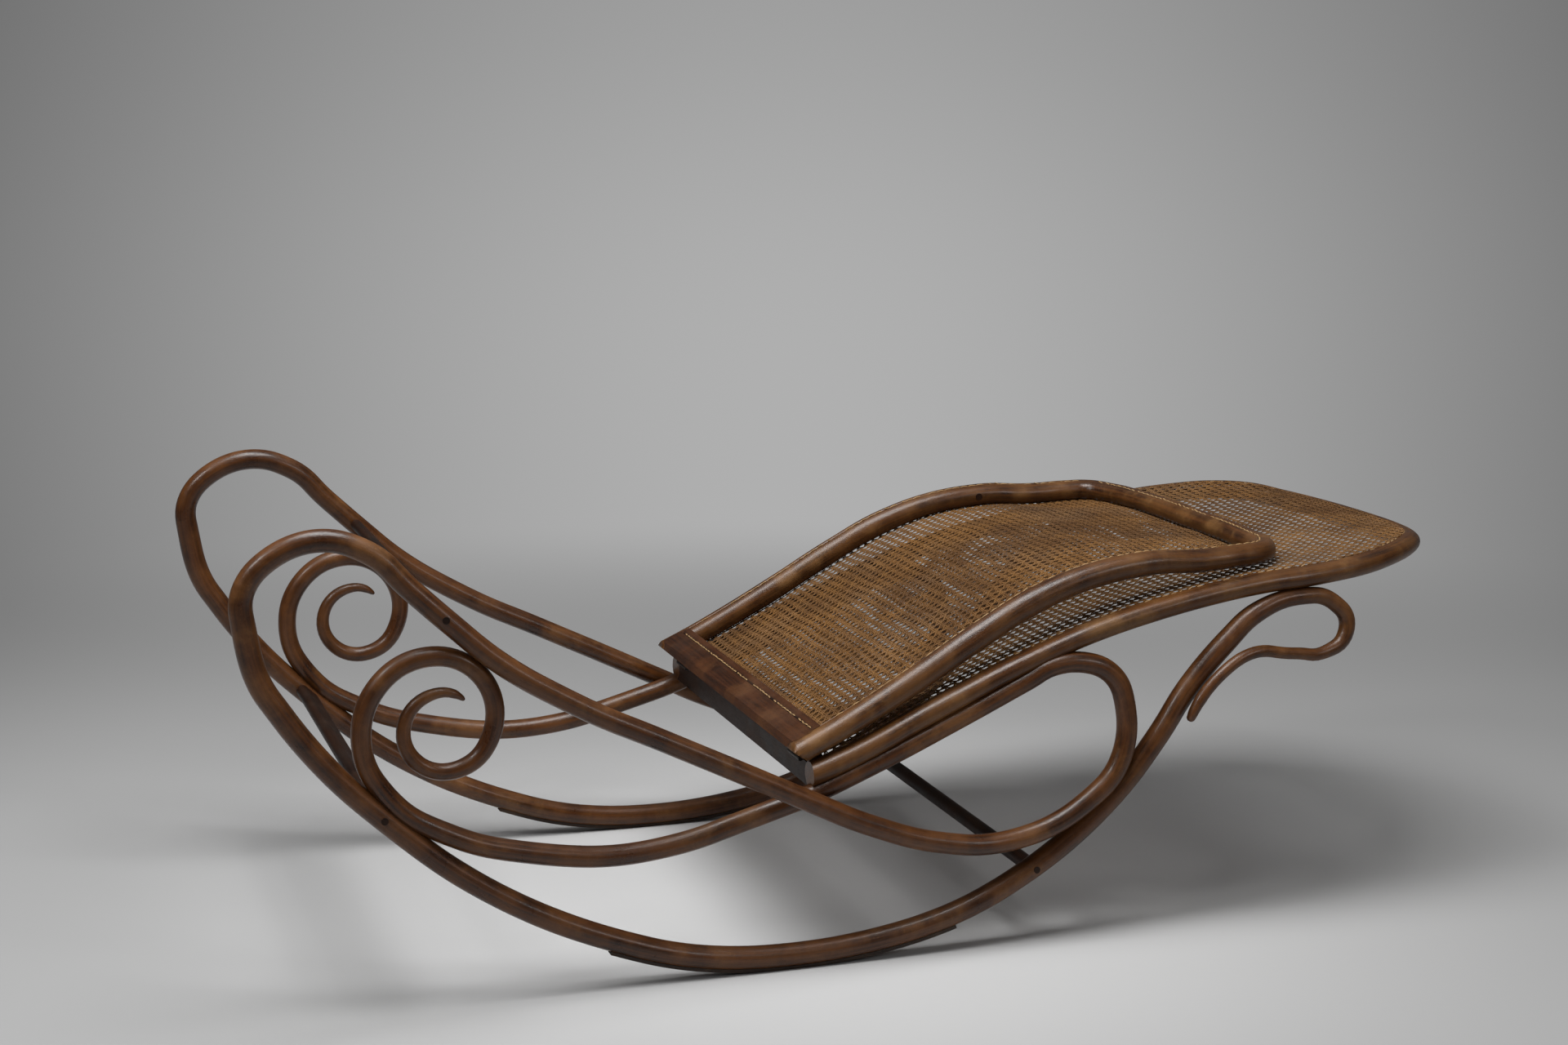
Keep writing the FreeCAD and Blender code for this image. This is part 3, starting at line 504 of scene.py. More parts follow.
@dataclass
class CanePanel:
    """A hand caned panel: pairs of strands both ways and single strands on both diagonals."""

    name: str
    rail: FlatOvalRail
    facing: Facing
    start_x: float
    sag: float = 0.008
    dent: float = 0.0013
    stand_off: float = 0.0002
    pair_gap: float = 0.00115
    strand_width: float = 0.0016
    strand_thickness: float = 0.0007
    end_length: float = 0.13
    slope_span: float = 0.01
    least_edge: float = 0.01
    end_room: float = 0.0005
    least_share: float = 0.05
    weave_rise: float = 0.00055
    pair_swing: float = 0.6
    between: float = -0.3
    cross_lift: float = 0.5
    slant_swing: float = 0.9
    slant_lift: float = 0.25
    width_spread: float = 0.08
    fibre_shift: float = 0.37

    def __post_init__(self) -> None:
        """Measure the panel's profile and outline from its rail."""
        line = self.rail.line
        half = len(line.places) // 2 + 1
        self.centre = line.places[:half]
        self.thickness = line.girths[:half]
        steps = np.hypot(np.diff(self.centre[:, 0]), np.diff(self.centre[:, 2]))
        self.run = np.concatenate([[0.0], np.cumsum(steps + TINY)])
        holes = self.centre + self.rail.inward()[:half] * self.rail.groove_inset
        self.edge_run = np.interp(holes[:, 0], self.centre[:, 0], self.run)
        self.edge_across = np.maximum(-holes[:, 1], 0)
        self.start_run = float(np.interp(self.start_x, self.centre[:, 0], self.run))
        self.end_run = float(self.edge_run[-1])

    def sink(self, run: Array, across: Array) -> Array:
        """Find how far use has pressed the cane out of its flat plane.

        Args:
            run: Distance along the panel.
            across: Distance from the panel's middle.

        Returns:
            Depth at each place, with shallow dents.
        """
        edge = np.interp(run, self.edge_run, self.edge_across)
        side = np.clip(1 - (across / np.maximum(edge, self.least_edge)) ** 2, 0, 1)
        head = np.clip((run - self.start_run) / self.end_length, 0, 1)
        foot = np.clip((self.end_run - run) / self.end_length, 0, 1)
        hold = side * head * (2 - head) * foot * (2 - foot)
        # Crossed waves 0.12 to 1 m long make the dents uneven.
        dents = (np.sin(run * 27 + across * 9) * np.sin(across * 31 - run * 6 + 1.3)
                 + 0.6 * np.sin(run * 51 - across * 17 + 0.7) * np.sin(across * 47 + run * 13))
        return hold * self.sag + np.minimum(hold * 3, 1) * self.dent * dents

    def surface(self, run: Array, across: Array) -> Tuple[Array, Array]:
        """Find the panel's surface.

        Args:
            run: Distance along the panel.
            across: Distance from the panel's middle, left side positive.

        Returns:
            Points on the surface and the surface's normals.
        """
        x, middle = self.profile_at(run)
        thick = np.interp(run, self.run, self.thickness)
        z = middle + self.facing.value * (thick / 2 + self.stand_off - self.sink(run, across))
        after, before = self.profile_at(run + self.slope_span), self.profile_at(run - self.slope_span)
        rise = after[1] - before[1]
        normal = unit(np.stack([-rise, np.zeros_like(rise), after[0] - before[0]], -1))
        return np.stack([x, across, z], -1), normal

    def profile_at(self, run: Array) -> Tuple[Array, Array]:
        """Return the x and z of the rail's middle at distances along the panel."""
        return tuple(np.interp(run, self.run, self.centre[:, axis]) for axis in (0, 2))

    def strand(self, start: Pair, heading: Pair, lifts: Array, number: int) -> Tuple[Array, Array]:
        """Lay one strand on a straight course over the panel.

        Args:
            start: Course start as run and across.
            heading: Step from sample to sample.
            lifts: Height off the panel at each sample.
            number: The strand's number, for its own grain.

        Returns:
            Ring corners and their grain, both empty where the course misses the panel.
        """
        steps = np.arange(len(lifts), dtype=float)
        run, across = start[0] + heading[0] * steps, start[1] + heading[1] * steps
        sides = np.interp(run, self.edge_run, self.edge_across, right=-1.0) - np.abs(across)
        room = np.minimum(sides, run - self.start_run)
        room = np.where(run > self.end_run, -np.abs(run - self.end_run) - self.end_room, room)
        inside = np.nonzero(room > 0)[0]
        if len(inside) < 2:
            return np.zeros((0, 4, 3)), np.zeros((0, 4, 3))
        kept = list(np.arange(inside[0], inside[-1] + 1.0))
        for end, turn in ((inside[0], -1), (inside[-1], 1)):
            if 0 <= end + turn < len(lifts):
                share = room[end] / max(room[end] - room[end + turn], TINY)
                if share > self.least_share:
                    kept.append(end + turn * share)
        marks = np.sort(kept)
        places, normals = self.surface(start[0] + heading[0] * marks, start[1] + heading[1] * marks)
        places = places + normals * np.interp(marks, steps, lifts)[:, None]
        side = unit(np.cross(normals, unit(np.gradient(places, axis=0))))
        half = self.strand_width / 2 * (1 + self.width_spread * math.sin(number * GOLDEN_TURN))
        reach = np.concatenate([[0.0], np.cumsum(np.linalg.norm(np.diff(places, axis=0), axis=1))])
        corners = np.stack([places + side * (a * half) + normals * (b * self.strand_thickness / 2)
                            for a, b in ((1, 1), (-1, 1), (-1, -1), (1, -1))], 1)
        grain = np.stack([
            np.stack([reach + number * self.fibre_shift, np.full_like(reach, a * self.strand_width),
                      np.full_like(reach, (number * GOLDEN_SHARE) % 1.0)], -1)
            for a in (1, -1, -1, 1)], 1)
        return corners, grain

    def courses(self) -> List[Tuple[Pair, Pair, Array]]:
        """List every strand's start, its step and its height at each sample."""
        half = CANE_PITCH / 2
        rows = int(self.end_run / CANE_PITCH) + 1
        columns = int(self.edge_across.max() / CANE_PITCH) + 1
        edge = -columns * CANE_PITCH
        listed = []
        for lines, count, lengthwise in ((range(-columns, columns + 1), rows * 2 + 4, True),
                                         (range(rows + 1), columns * 4 + 1, False)):
            steps = np.arange(count)
            for line, which in product(lines, (0, 1)):
                place = line * CANE_PITCH + (which * 2 - 1) * self.pair_gap
                over = np.where((steps // 2 + which + line) % 2 == 0, 1.0, -1.0)
                swing = np.where(steps % 2 == 0, over, self.between) * self.pair_swing
                if lengthwise:
                    listed.append(((0.0, place), (half, 0.0), self.weave_rise * swing))
                else:
                    listed.append(((place, edge), (0.0, half), self.weave_rise * (self.cross_lift - swing)))
        steps = np.arange((rows + 2 * columns + 2) * 2)
        for slant in (1, -1):
            swing = self.slant_swing * np.where(steps % 2 == 0, 0.0, 2.0)
            lifts = self.weave_rise * (swing + self.slant_lift * slant)
            for number in range(-2 * columns - 1, rows + 1):
                listed.append(((number * CANE_PITCH + half, slant * edge), (half, slant * half), lifts))
        return listed

    def build(self) -> Piece:
        """Weave the panel and return it."""
        batch = TubeBatch()
        for number, (start, heading, lifts) in enumerate(self.courses()):
            rings, grain = self.strand(start, heading, lifts, number)
            if len(rings) >= 2:
                batch.add(rings, grain)
        return batch.build(self.name)


@dataclass
class StitchRow:
    """Loops of split cane that lie in a groove from hole to hole."""

    name: str
    course: Array
    normals: Array
    thickness: float = 0.0011
    worn_share: float = 0.14
    broken_share: float = 0.2
    span: Pair = (0.04, 0.96)
    broken_span: Pair = (0.35, 0.7)
    loop_points: int = 7
    ring_points: int = 6
    sway: float = 0.7
    bow_rise: float = 0.9
    loose_rise: float = 3.2
    end_width: float = 0.72
    flatness: float = 0.7
    seed: int = 3

    def build(self) -> Piece:
        """Make the loops and return them as one piece."""
        chance = np.random.default_rng(self.seed)
        reach = np.concatenate([[0.0], np.cumsum(np.linalg.norm(np.diff(self.course, axis=0), axis=1))])
        batch = TubeBatch()
        angles = np.arange(self.ring_points) * 2 * math.pi / self.ring_points
        for number in range(int(reach[-1] / CANE_PITCH)):
            if chance.random() < self.worn_share:
                continue
            cut = 1.0 if chance.random() > self.broken_share else chance.uniform(*self.broken_span)
            marks = np.linspace(self.span[0], self.span[1] * cut, self.loop_points)
            far = (number + marks) * CANE_PITCH
            bow = np.sin(marks * math.pi)
            places, normals = (
                np.stack([np.interp(far, reach, values[:, axis]) for axis in range(3)], -1)
                for values in (self.course, self.normals))
            normals = unit(normals)
            side = unit(np.cross(normals, unit(np.gradient(places, axis=0))))
            sway = self.thickness * chance.uniform(-self.sway, self.sway) * (2 * marks - 1)
            rise = self.loose_rise * marks if cut < 1 else self.bow_rise * bow
            spring = self.thickness * (rise - self.bow_rise)
            places = places + normals * spring[:, None] + side * sway[:, None]
            wide = self.thickness * (self.end_width + (1 - self.end_width) * bow)[:, None]
            rings = (places[:, None, :] + (wide * np.cos(angles))[:, :, None] * side[:, None, :]
                     + (self.flatness * wide * np.sin(angles))[:, :, None] * normals[:, None, :])
            grain = np.stack(np.broadcast_arrays(
                far[:, None], self.thickness * np.cos(angles), (number * GOLDEN_SHARE) % 1.0), -1)
            batch.add(rings, grain)
        return batch.build(self.name)


class NodeSheet:
    """A short hand for adding and joining nodes in one tree."""

    def __init__(self, tree: Tree) -> None:
        """Keep the tree."""
        self.tree = tree

    def feed(self, socket: Socket, value: object) -> None:
        """Join a value to a socket, or set the socket to a number or colour."""
        if isinstance(value, Socket):
            self.tree.links.new(value, socket)
        else:
            socket.default_value = (*value, 1.0) if isinstance(value, tuple) else value

    def fill(self, node: bpy.types.Node, **values: object) -> bpy.types.Node:
        """Set up a node.

        Args:
            node: The node.
            **values: Properties by name, and inputs by name with blanks as underscores.

        Returns:
            The same node.
        """
        for key, value in values.items():
            if hasattr(node, key):
                setattr(node, key, value)
            else:
                self.feed(node.inputs[key.replace("_", " ")], value)
        return node

    def add(self, kind: str, **values: object) -> bpy.types.Node:
        """Add a node of a type and fill it."""
        return self.fill(self.tree.nodes.new(kind), **values)

    def maths(self, operation: str, first: object, second: object = 0.0) -> Socket:
        """Add a maths node and return its value."""
        node = self.add("ShaderNodeMath", operation=operation)
        self.feed(node.inputs[0], first)
        self.feed(node.inputs[1], second)
        return node.outputs[0]

    def times(self, first: object, second: object) -> Socket:
        """Multiply two values."""
        return self.maths("MULTIPLY", first, second)

    def plus(self, first: object, second: object) -> Socket:
        """Add two values."""
        return self.maths("ADD", first, second)

    def ramp(self, value: Socket, low: float, high: float) -> Socket:
        """Map a value between low and high to a smooth nought to one."""
        return self.add("ShaderNodeMapRange", interpolation_type="SMOOTHSTEP", Value=value,
                        From_Min=low, From_Max=high).outputs["Result"]

    def mix(self, factor: object, first: object, second: object) -> Socket:
        """Mix two colours and return the result."""
        node = self.add("ShaderNodeMix", data_type="RGBA")
        for index, value in ((0, factor), (6, first), (7, second)):
            self.feed(node.inputs[index], value)
        return node.outputs[2]

    def noise(self, vector: Socket, scale: float, detail: float, roughness: float) -> Socket:
        """Add a noise texture and return its value."""
        node = self.add("ShaderNodeTexNoise", Vector=vector, Scale=scale, Detail=detail, Roughness=roughness)
        return node.outputs["Fac"]

    def group(self, tree: Tree, **values: object) -> bpy.types.NodeOutputs:
        """Use a node group and return its outputs."""
        return self.add("ShaderNodeGroup", node_tree=tree, **values).outputs

    def geometry(self, output: str) -> Socket:
        """Return the surface's position or normal."""
        return self.add("ShaderNodeNewGeometry").outputs[output]

    def split(self, vector: Socket) -> bpy.types.NodeOutputs:
        """Return a vector's three parts."""
        return self.add("ShaderNodeSeparateXYZ", Vector=vector).outputs

    def join(self, first: object, second: object, third: object) -> Socket:
        """Return the vector of three parts."""
        return self.add("ShaderNodeCombineXYZ", X=first, Y=second, Z=third).outputs[0]

    def grain(self) -> Socket:
        """Return the vector that runs with a piece's fibre."""
        return self.add("ShaderNodeAttribute", attribute_name=GrainRun.ALONG_SWEEP.value).outputs["Vector"]

    def bump(self, strength: float, distance: float, height: Socket) -> Socket:
        """Return the normal of a surface with a height."""
        return self.add("ShaderNodeBump", Strength=strength, Distance=distance, Height=height).outputs[0]


class SharedEffects:
    """The shader node groups that several finishes of the chaise use."""

    def __init__(self) -> None:
        """Build each group once."""
        self.fibre = self.build_fibre()
        self.wear = self.build_wear()
        self.dust = self.build_dust()

    @staticmethod
    def open_group(name: str, **inputs: object) -> Tuple[NodeSheet, bpy.types.NodeOutputs]:
        """Start a group.

        Args:
            name: The group's name.
            **inputs: First value of each number, or None for a vector, by name with blanks as underscores.

        Returns:
            The group's sheet and what comes in by its inputs.
        """
        tree = bpy.data.node_groups.new(name, "ShaderNodeTree")
        for label, value in inputs.items():
            kind = "NodeSocketVector" if value is None else "NodeSocketFloat"
            socket = tree.interface.new_socket(label.replace("_", " "), in_out="INPUT", socket_type=kind)
            if value is not None:
                socket.default_value = value
        sheet = NodeSheet(tree)
        return sheet, sheet.add("NodeGroupInput").outputs

    @staticmethod
    def close_group(sheet: NodeSheet, **values: Socket) -> Tree:
        """Give a group its outputs, one for each value, and return it."""
        for label in values:
            sheet.tree.interface.new_socket(label, in_out="OUTPUT", socket_type="NodeSocketFloat")
        sheet.add("NodeGroupOutput", **values)
        return sheet.tree

    def build_fibre(self) -> Tree:
        """Build long streaks, pores and broad mottling that run with the fibre."""
        sheet, given = self.open_group("Wood_Fibre", Place=None, Streak_Length=6.0, Streak_Width=260.0)
        split = sheet.split(given["Place"])
        long = sheet.times(split[0], given["Streak Length"])
        wide = sheet.times(split[1], given["Streak Width"])
        deep = sheet.times(split[2], given["Streak Width"])
        streaks = sheet.noise(sheet.join(long, wide, deep), 1.0, 5.0, 0.62)
        fine = sheet.join(sheet.times(long, 14.0), sheet.times(wide, 7.0), sheet.times(deep, 7.0))
        pores = sheet.ramp(sheet.noise(fine, 1.0, 2.0, 0.6), 0.56, 0.72)
        mottle = sheet.noise(given["Place"], 17.0, 4.0, 0.6)
        return self.close_group(sheet, Streaks=streaks, Pores=pores, Mottle=mottle)

    def build_wear(self) -> Tree:
        """Build rubbed patches, fine chips and crackle in an old polish."""
        sheet, given = self.open_group("Worn_Polish", Place=None, Amount=0.5)
        place = given["Place"]
        broad = sheet.ramp(sheet.noise(place, 11.0, 5.0, 0.65), 0.50, 0.72)
        rubbed = sheet.times(broad, given["Amount"])
        speck = sheet.ramp(sheet.noise(place, 330.0, 3.0, 0.7), 0.60, 0.70)
        chips = sheet.times(speck, sheet.plus(rubbed, 0.25))
        cells = sheet.add("ShaderNodeTexVoronoi", feature="DISTANCE_TO_EDGE", Vector=place, Scale=240.0)
        crackle = sheet.ramp(cells.outputs["Distance"], 0.0, 0.09)
        return self.close_group(sheet, Rubbed=rubbed, Chips=chips, Crackle=crackle)

    def build_dust(self) -> Tree:
        """Build settled dust on faces that look up."""
        sheet, given = self.open_group("Settled_Dust", Amount=0.2)
        level = sheet.ramp(sheet.split(sheet.geometry("Normal"))[2], 0.35, 1.0)
        patch = sheet.ramp(sheet.noise(sheet.geometry("Position"), 9.0, 5.0, 0.6), 0.40, 0.68)
        return self.close_group(sheet, Mask=sheet.times(sheet.times(level, patch), given["Amount"]))


@dataclass(frozen=True)
class Finish:
    """A material with a name and a recipe for its nodes."""

    name: str

    def make(self, effects: SharedEffects) -> Material:
        """Build the material.

        Args:
            effects: The shared node groups.

        Returns:
            The finished material.
        """
        material = bpy.data.materials.new(self.name)
        material.use_nodes = True
        sheet = NodeSheet(material.node_tree)
        self.paint(sheet, sheet.tree.nodes["Principled BSDF"], effects)
        return material

    def paint(self, sheet: NodeSheet, shader: bpy.types.Node, effects: SharedEffects) -> None:
        """Add the finish's nodes.

        Args:
            sheet: The material's node sheet.
            shader: Its main shader.
            effects: The shared node groups.
        """
        raise NotImplementedError


@dataclass(frozen=True)
class WoodFinish(Finish):
    """Stained and polished beech, with grain, rubbed places and dust."""

    dark: Colour
    middle: Colour
    warm: Colour
    worn: Colour
    run: GrainRun = GrainRun.ALONG_SWEEP
    wear: float = 0.5
    gloss: float = 0.27
    coat: float = 0.14
    specular: float = 0.36
    dust: float = 0.03
    dust_tone: Colour = (0.30, 0.27, 0.23)

    def paint(self, sheet: NodeSheet, shader: bpy.types.Node, effects: SharedEffects) -> None:
        """Add stain, pores, wear and dust."""
        fibre = sheet.group(effects.fibre, Place=self.place(sheet), Streak_Length=7.0, Streak_Width=230.0)
        wear = sheet.group(effects.wear, Place=sheet.geometry("Position"), Amount=self.wear)
        dust = sheet.group(effects.dust, Amount=self.dust)
        mottle = sheet.ramp(fibre["Mottle"], 0.32, 0.70)
        base = sheet.mix(sheet.ramp(fibre["Streaks"], 0.34, 0.66), self.dark, self.middle)
        for mask, share, tone in (
                (mottle, 0.55, self.warm), (fibre["Pores"], 0.55, self.dark), (wear["Rubbed"], 1.0, self.worn),
                (wear["Chips"], 0.75, self.worn), (dust["Mask"], 1.0, self.dust_tone)):
            base = sheet.mix(sheet.times(mask, share), base, tone)
        rough = self.gloss
        for mask, share in ((fibre["Pores"], 0.16), (wear["Rubbed"], 0.22), (mottle, 0.10)):
            rough = sheet.plus(rough, sheet.times(mask, share))
        height = sheet.times(fibre["Streaks"], 0.6)
        for mask, share in ((fibre["Pores"], -0.35), (wear["Crackle"], 0.25), (wear["Chips"], -0.3)):
            height = sheet.plus(height, sheet.times(mask, share))
        coat = sheet.times(sheet.maths("SUBTRACT", 1.0, wear["Rubbed"]), self.coat)
        sheet.fill(shader, Base_Color=base, Roughness=sheet.maths("MINIMUM", rough, 0.95), Coat_Weight=coat,
                   Coat_Roughness=0.16, Specular_IOR_Level=self.specular,
                   Normal=sheet.bump(0.35, 0.0006, height))

    def place(self, sheet: NodeSheet) -> Socket:
        """Return coordinates whose first axis runs with the grain."""
        if self.run is GrainRun.ALONG_SWEEP:
            return sheet.grain()
        split = sheet.split(sheet.geometry("Position"))
        return sheet.join(split[1], split[0], split[2])


@dataclass(frozen=True)
class CaneFinish(Finish):
    """Aged split cane: golden skin with darker, dirtier patches."""

    dark: Colour
    middle: Colour
    light: Colour
    soiling: float = 0.6
    dust: float = 0.08
    dust_tone: Colour = (0.42, 0.36, 0.28)

    def paint(self, sheet: NodeSheet, shader: bpy.types.Node, effects: SharedEffects) -> None:
        """Add each strand's own tone, soiled patches and dust."""
        grain = sheet.grain()
        fibre = sheet.group(effects.fibre, Place=grain, Streak_Length=30.0, Streak_Width=900.0)
        spot = sheet.geometry("Position")
        patches = sheet.ramp(sheet.noise(spot, 5.5, 5.0, 0.62), 0.38, 0.66)
        small = sheet.ramp(sheet.noise(spot, 42.0, 3.0, 0.6), 0.35, 0.68)
        dust = sheet.group(effects.dust, Amount=self.dust)
        tone = sheet.plus(sheet.times(sheet.split(grain)[2], 0.35), sheet.times(fibre["Streaks"], 0.65))
        base = sheet.mix(tone, self.middle, self.light)
        base = sheet.mix(sheet.times(patches, self.soiling), base, self.dark)
        base = sheet.mix(sheet.times(small, 0.35), base, self.dark)
        base = sheet.mix(dust["Mask"], base, self.dust_tone)
        sheet.fill(shader, Base_Color=base, Roughness=sheet.plus(0.45, sheet.times(patches, 0.25)),
                   Specular_IOR_Level=0.3, Normal=sheet.bump(0.3, 0.0003, fibre["Streaks"]))


@dataclass(frozen=True)
class IronFinish(Finish):
    """Old dark iron with brown rust in its hollows."""

    dark: Colour
    bright: Colour
    rust: Colour

    def paint(self, sheet: NodeSheet, shader: bpy.types.Node, effects: SharedEffects) -> None:
        """Add cloudy iron and rust."""
        spot = sheet.geometry("Position")
        rubbed = sheet.group(effects.wear, Place=spot, Amount=0.8)["Rubbed"]
        cloud = sheet.ramp(sheet.noise(spot, 160.0, 5.0, 0.65), 0.35, 0.65)
        base = sheet.mix(cloud, self.dark, self.bright)
        sheet.fill(shader, Base_Color=sheet.mix(sheet.times(rubbed, 0.7), base, self.rust),
                   Metallic=sheet.maths("SUBTRACT", 0.9, rubbed),
                   Roughness=sheet.plus(0.38, sheet.times(cloud, 0.3)), Normal=sheet.bump(0.4, 0.0003, cloud))


@dataclass(frozen=True)
class PaperFinish(Finish):
    """The pale floor, with painted shade further from the chaise, and the backdrop, a painted glow whose
    painted shade darkens it with height and to both sides.
    """

    # lit is the floor's painted pool of light in the middle and far its painted shade further out; grit is its
    # own speckle.
    lit: Colour = (0.56, 0.56, 0.56)
    grit: Colour = (0.40, 0.40, 0.40)
    far: Colour = (0.41, 0.41, 0.41)
    # low and high are the backdrop's painted glow at its foot and top; turn and fan_start lay out its painted
    # shade to both sides.
    low: Colour = (0.43, 0.43, 0.43)
    high: Colour = (0.335, 0.335, 0.335)
    turn: Pair = (0.95, 0.312)
    fan_start: float = 3.47

    def paint(self, sheet: NodeSheet, shader: bpy.types.Node, effects: SharedEffects) -> None:
        """Add the floor's grit and its painted shade away from the middle, and the backdrop's painted glow,
        shaded with height and to both sides.
        """
        spot = sheet.geometry("Position")
        x, y, z = sheet.split(spot)[:3]
        flat = sheet.maths("SQRT", sheet.plus(sheet.times(x, x), sheet.times(y, y)))
        base = sheet.mix(sheet.times(sheet.noise(spot, 60.0, 3.0, 0.6), 0.06), self.lit, self.grit)
        # Painted shade: the floor darkens from lit to far away from the middle, a painted pool of light.
        base = sheet.mix(sheet.ramp(flat, 0.25, 1.1), base, self.far)
        sheet.fill(shader, Base_Color=base, Roughness=0.9, Specular_IOR_Level=0.1)
        main, cross = self.turn
        across = sheet.maths("SUBTRACT", sheet.times(x, main), sheet.times(y, cross))
        along = sheet.plus(sheet.times(x, cross), sheet.times(y, main))
        fan = sheet.maths("ABSOLUTE", sheet.maths("DIVIDE", across, sheet.plus(along, self.fan_start)))
        # Painted glow: darker with height, then painted shade to both sides.
        tone = sheet.mix(sheet.ramp(z, 0.0, 1.7), self.low, self.high)
        tone = sheet.mix(sheet.times(sheet.ramp(fan, 0.0, 0.5), 0.75), tone, (0.0, 0.0, 0.0))
        # Camera rays see the far floor and backdrop as a painted glow in place of lit paper.
        glow = sheet.add("ShaderNodeEmission", Color=tone, Strength=1.0)
        seen = sheet.add("ShaderNodeLightPath").outputs["Is Camera Ray"]
        blend = sheet.add("ShaderNodeMixShader")
        for index, value in enumerate((sheet.times(seen, sheet.ramp(flat, 1.2, 2.9)), shader.outputs[0],
                                       glow.outputs[0])):
            sheet.feed(blend.inputs[index], value)
        sheet.feed(sheet.tree.nodes["Material Output"].inputs["Surface"], blend.outputs[0])


class Palette:
    """Every finish of the chaise, built once."""

    def __init__(self) -> None:
        """Build the shared effects and the materials."""
        effects = SharedEffects()
        self.rod = WoodFinish("Rod_Polish", (0.016, 0.0048, 0.0013), (0.074, 0.0235, 0.0058),
                              (0.165, 0.060, 0.014), (0.25, 0.110, 0.034), wear=0.42).make(effects)
        self.rail = WoodFinish("Rail_Polish", (0.019, 0.0058, 0.0017), (0.086, 0.030, 0.0078),
                               (0.175, 0.072, 0.017), (0.27, 0.135, 0.044), wear=0.5).make(effects)
        self.board = WoodFinish("Board_Polish", (0.016, 0.0048, 0.0018), (0.052, 0.0165, 0.0055),
                                (0.090, 0.030, 0.0085), (0.15, 0.062, 0.020), GrainRun.ACROSS_CHAISE,
                                wear=0.35, gloss=0.36, coat=0.06, specular=0.25).make(effects)
        self.dark_board = WoodFinish("Dark_Board_Polish", (0.0045, 0.0018, 0.0010), (0.015, 0.0052, 0.0024),
                                     (0.030, 0.0105, 0.0042), (0.07, 0.030, 0.012), GrainRun.ACROSS_CHAISE,
                                     wear=0.3, gloss=0.42, coat=0.02, specular=0.18).make(effects)
        self.runner = WoodFinish("Runner_Wood", (0.010, 0.006, 0.004), (0.030, 0.016, 0.010),
                                 (0.050, 0.028, 0.016), (0.11, 0.07, 0.045), GrainRun.ACROSS_CHAISE,
                                 wear=0.6, gloss=0.6, coat=0.0).make(effects)
        self.cane = CaneFinish("Split_Cane", (0.045, 0.016, 0.0040), (0.155, 0.066, 0.017),
                               (0.31, 0.155, 0.046)).make(effects)
        self.stitch = CaneFinish("Binding_Cane", (0.12, 0.06, 0.022), (0.34, 0.20, 0.085),
                                 (0.52, 0.34, 0.16), soiling=0.3).make(effects)
        self.iron = IronFinish("Dark_Iron", (0.03, 0.027, 0.025), (0.10, 0.09, 0.085),
                               (0.07, 0.03, 0.015)).make(effects)
        self.paper = PaperFinish("Studio_Paper_Painted_Glow").make(effects)


def dress(piece: Piece, material: Material, body: str, slot: str,
          *nodes: str) -> Piece:
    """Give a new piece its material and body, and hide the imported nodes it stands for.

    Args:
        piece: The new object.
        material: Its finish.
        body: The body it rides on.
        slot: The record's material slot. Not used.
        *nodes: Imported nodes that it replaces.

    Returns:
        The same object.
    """
    piece.data.materials.clear()
    piece.data.materials.append(material)
    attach(piece, body)
    if nodes:
        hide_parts(*nodes)
    logging.info("%s: %d faces on %s", piece.name, len(piece.data.polygons), body)
    return piece


@dataclass
class SideFrame:
    """The three bent rods of one side."""

    side: int

    def build(self, palette: Palette) -> None:
        """Build and dress the rocker, arm and scroll rods.

        Args:
            palette: The chaise's finishes.
        """
        label = "left" if self.side > 0 else "right"
        points = np.array([(row[0] * OBJECT_LENGTH, self.side * (SIDE_SPACING / 2 + row[2] * ROD_GIRTH),
                            ROD_LIFT + row[1] * OBJECT_LENGTH) for row in ROD_ROWS])
        line = BentLine(points, np.array([row[3] * ROD_GIRTH for row in ROD_ROWS]))
        loop = line.starts[ROD_ROWS.index(LOOP_JOINT)]
        seat = line.starts[ROD_ROWS.index(SEAT_JOINT)]
        pieces = (
            (RoundRod(label + "_rocker_sweep", line, 0, loop, round_start=True), "_rocker_rod"),
            (RoundRod(label + "_arm_sweep", line, loop, seat), "_arm_rod"),
            (RoundRod(label + "_scroll_sweep", line, seat, len(line.places) - 1, round_end=True),
             "_scroll_rod"),
        )
        for rod, node in pieces:
            dress(rod.build(), palette.rod, "frame", "stained_beech", label + node)


@dataclass
class CanedSeat:
    """The seat's bent rail, its caned panel and the cane's loops in the rail."""

    rail: FlatOvalRail = field(default_factory=lambda: FlatOvalRail(
        "seat_rail_sweep", SEAT_ROWS, SEAT_HALF, Facing.UNDERSIDE))
    board_face_x: float = -0.1095
    plain_points: int = 8

    def build(self, palette: Palette) -> None:
        """Build and dress the seat.

        Args:
            palette: The chaise's finishes.
        """
        dress(self.rail.build(), palette.rail, "frame", "seat_beech", "seat_rail")
        panel = CanePanel("seat_weave", self.rail, Facing.TOP, self.board_face_x)
        dress(panel.build(), palette.cane, "frame", "split_cane", "seat_cane")
        keep = slice(self.plain_points, -self.plain_points)
        for label, facing, worn in (("seat_hole_ends", Facing.TOP, 0.5),
                                    ("seat_under_loops", Facing.UNDERSIDE, 0.1)):
            course, normals = self.rail.groove_course(facing)
            row = StitchRow(label, course[keep], normals[keep], worn_share=worn, seed=7)
            dress(row.build(), palette.stitch, "frame", "split_cane")


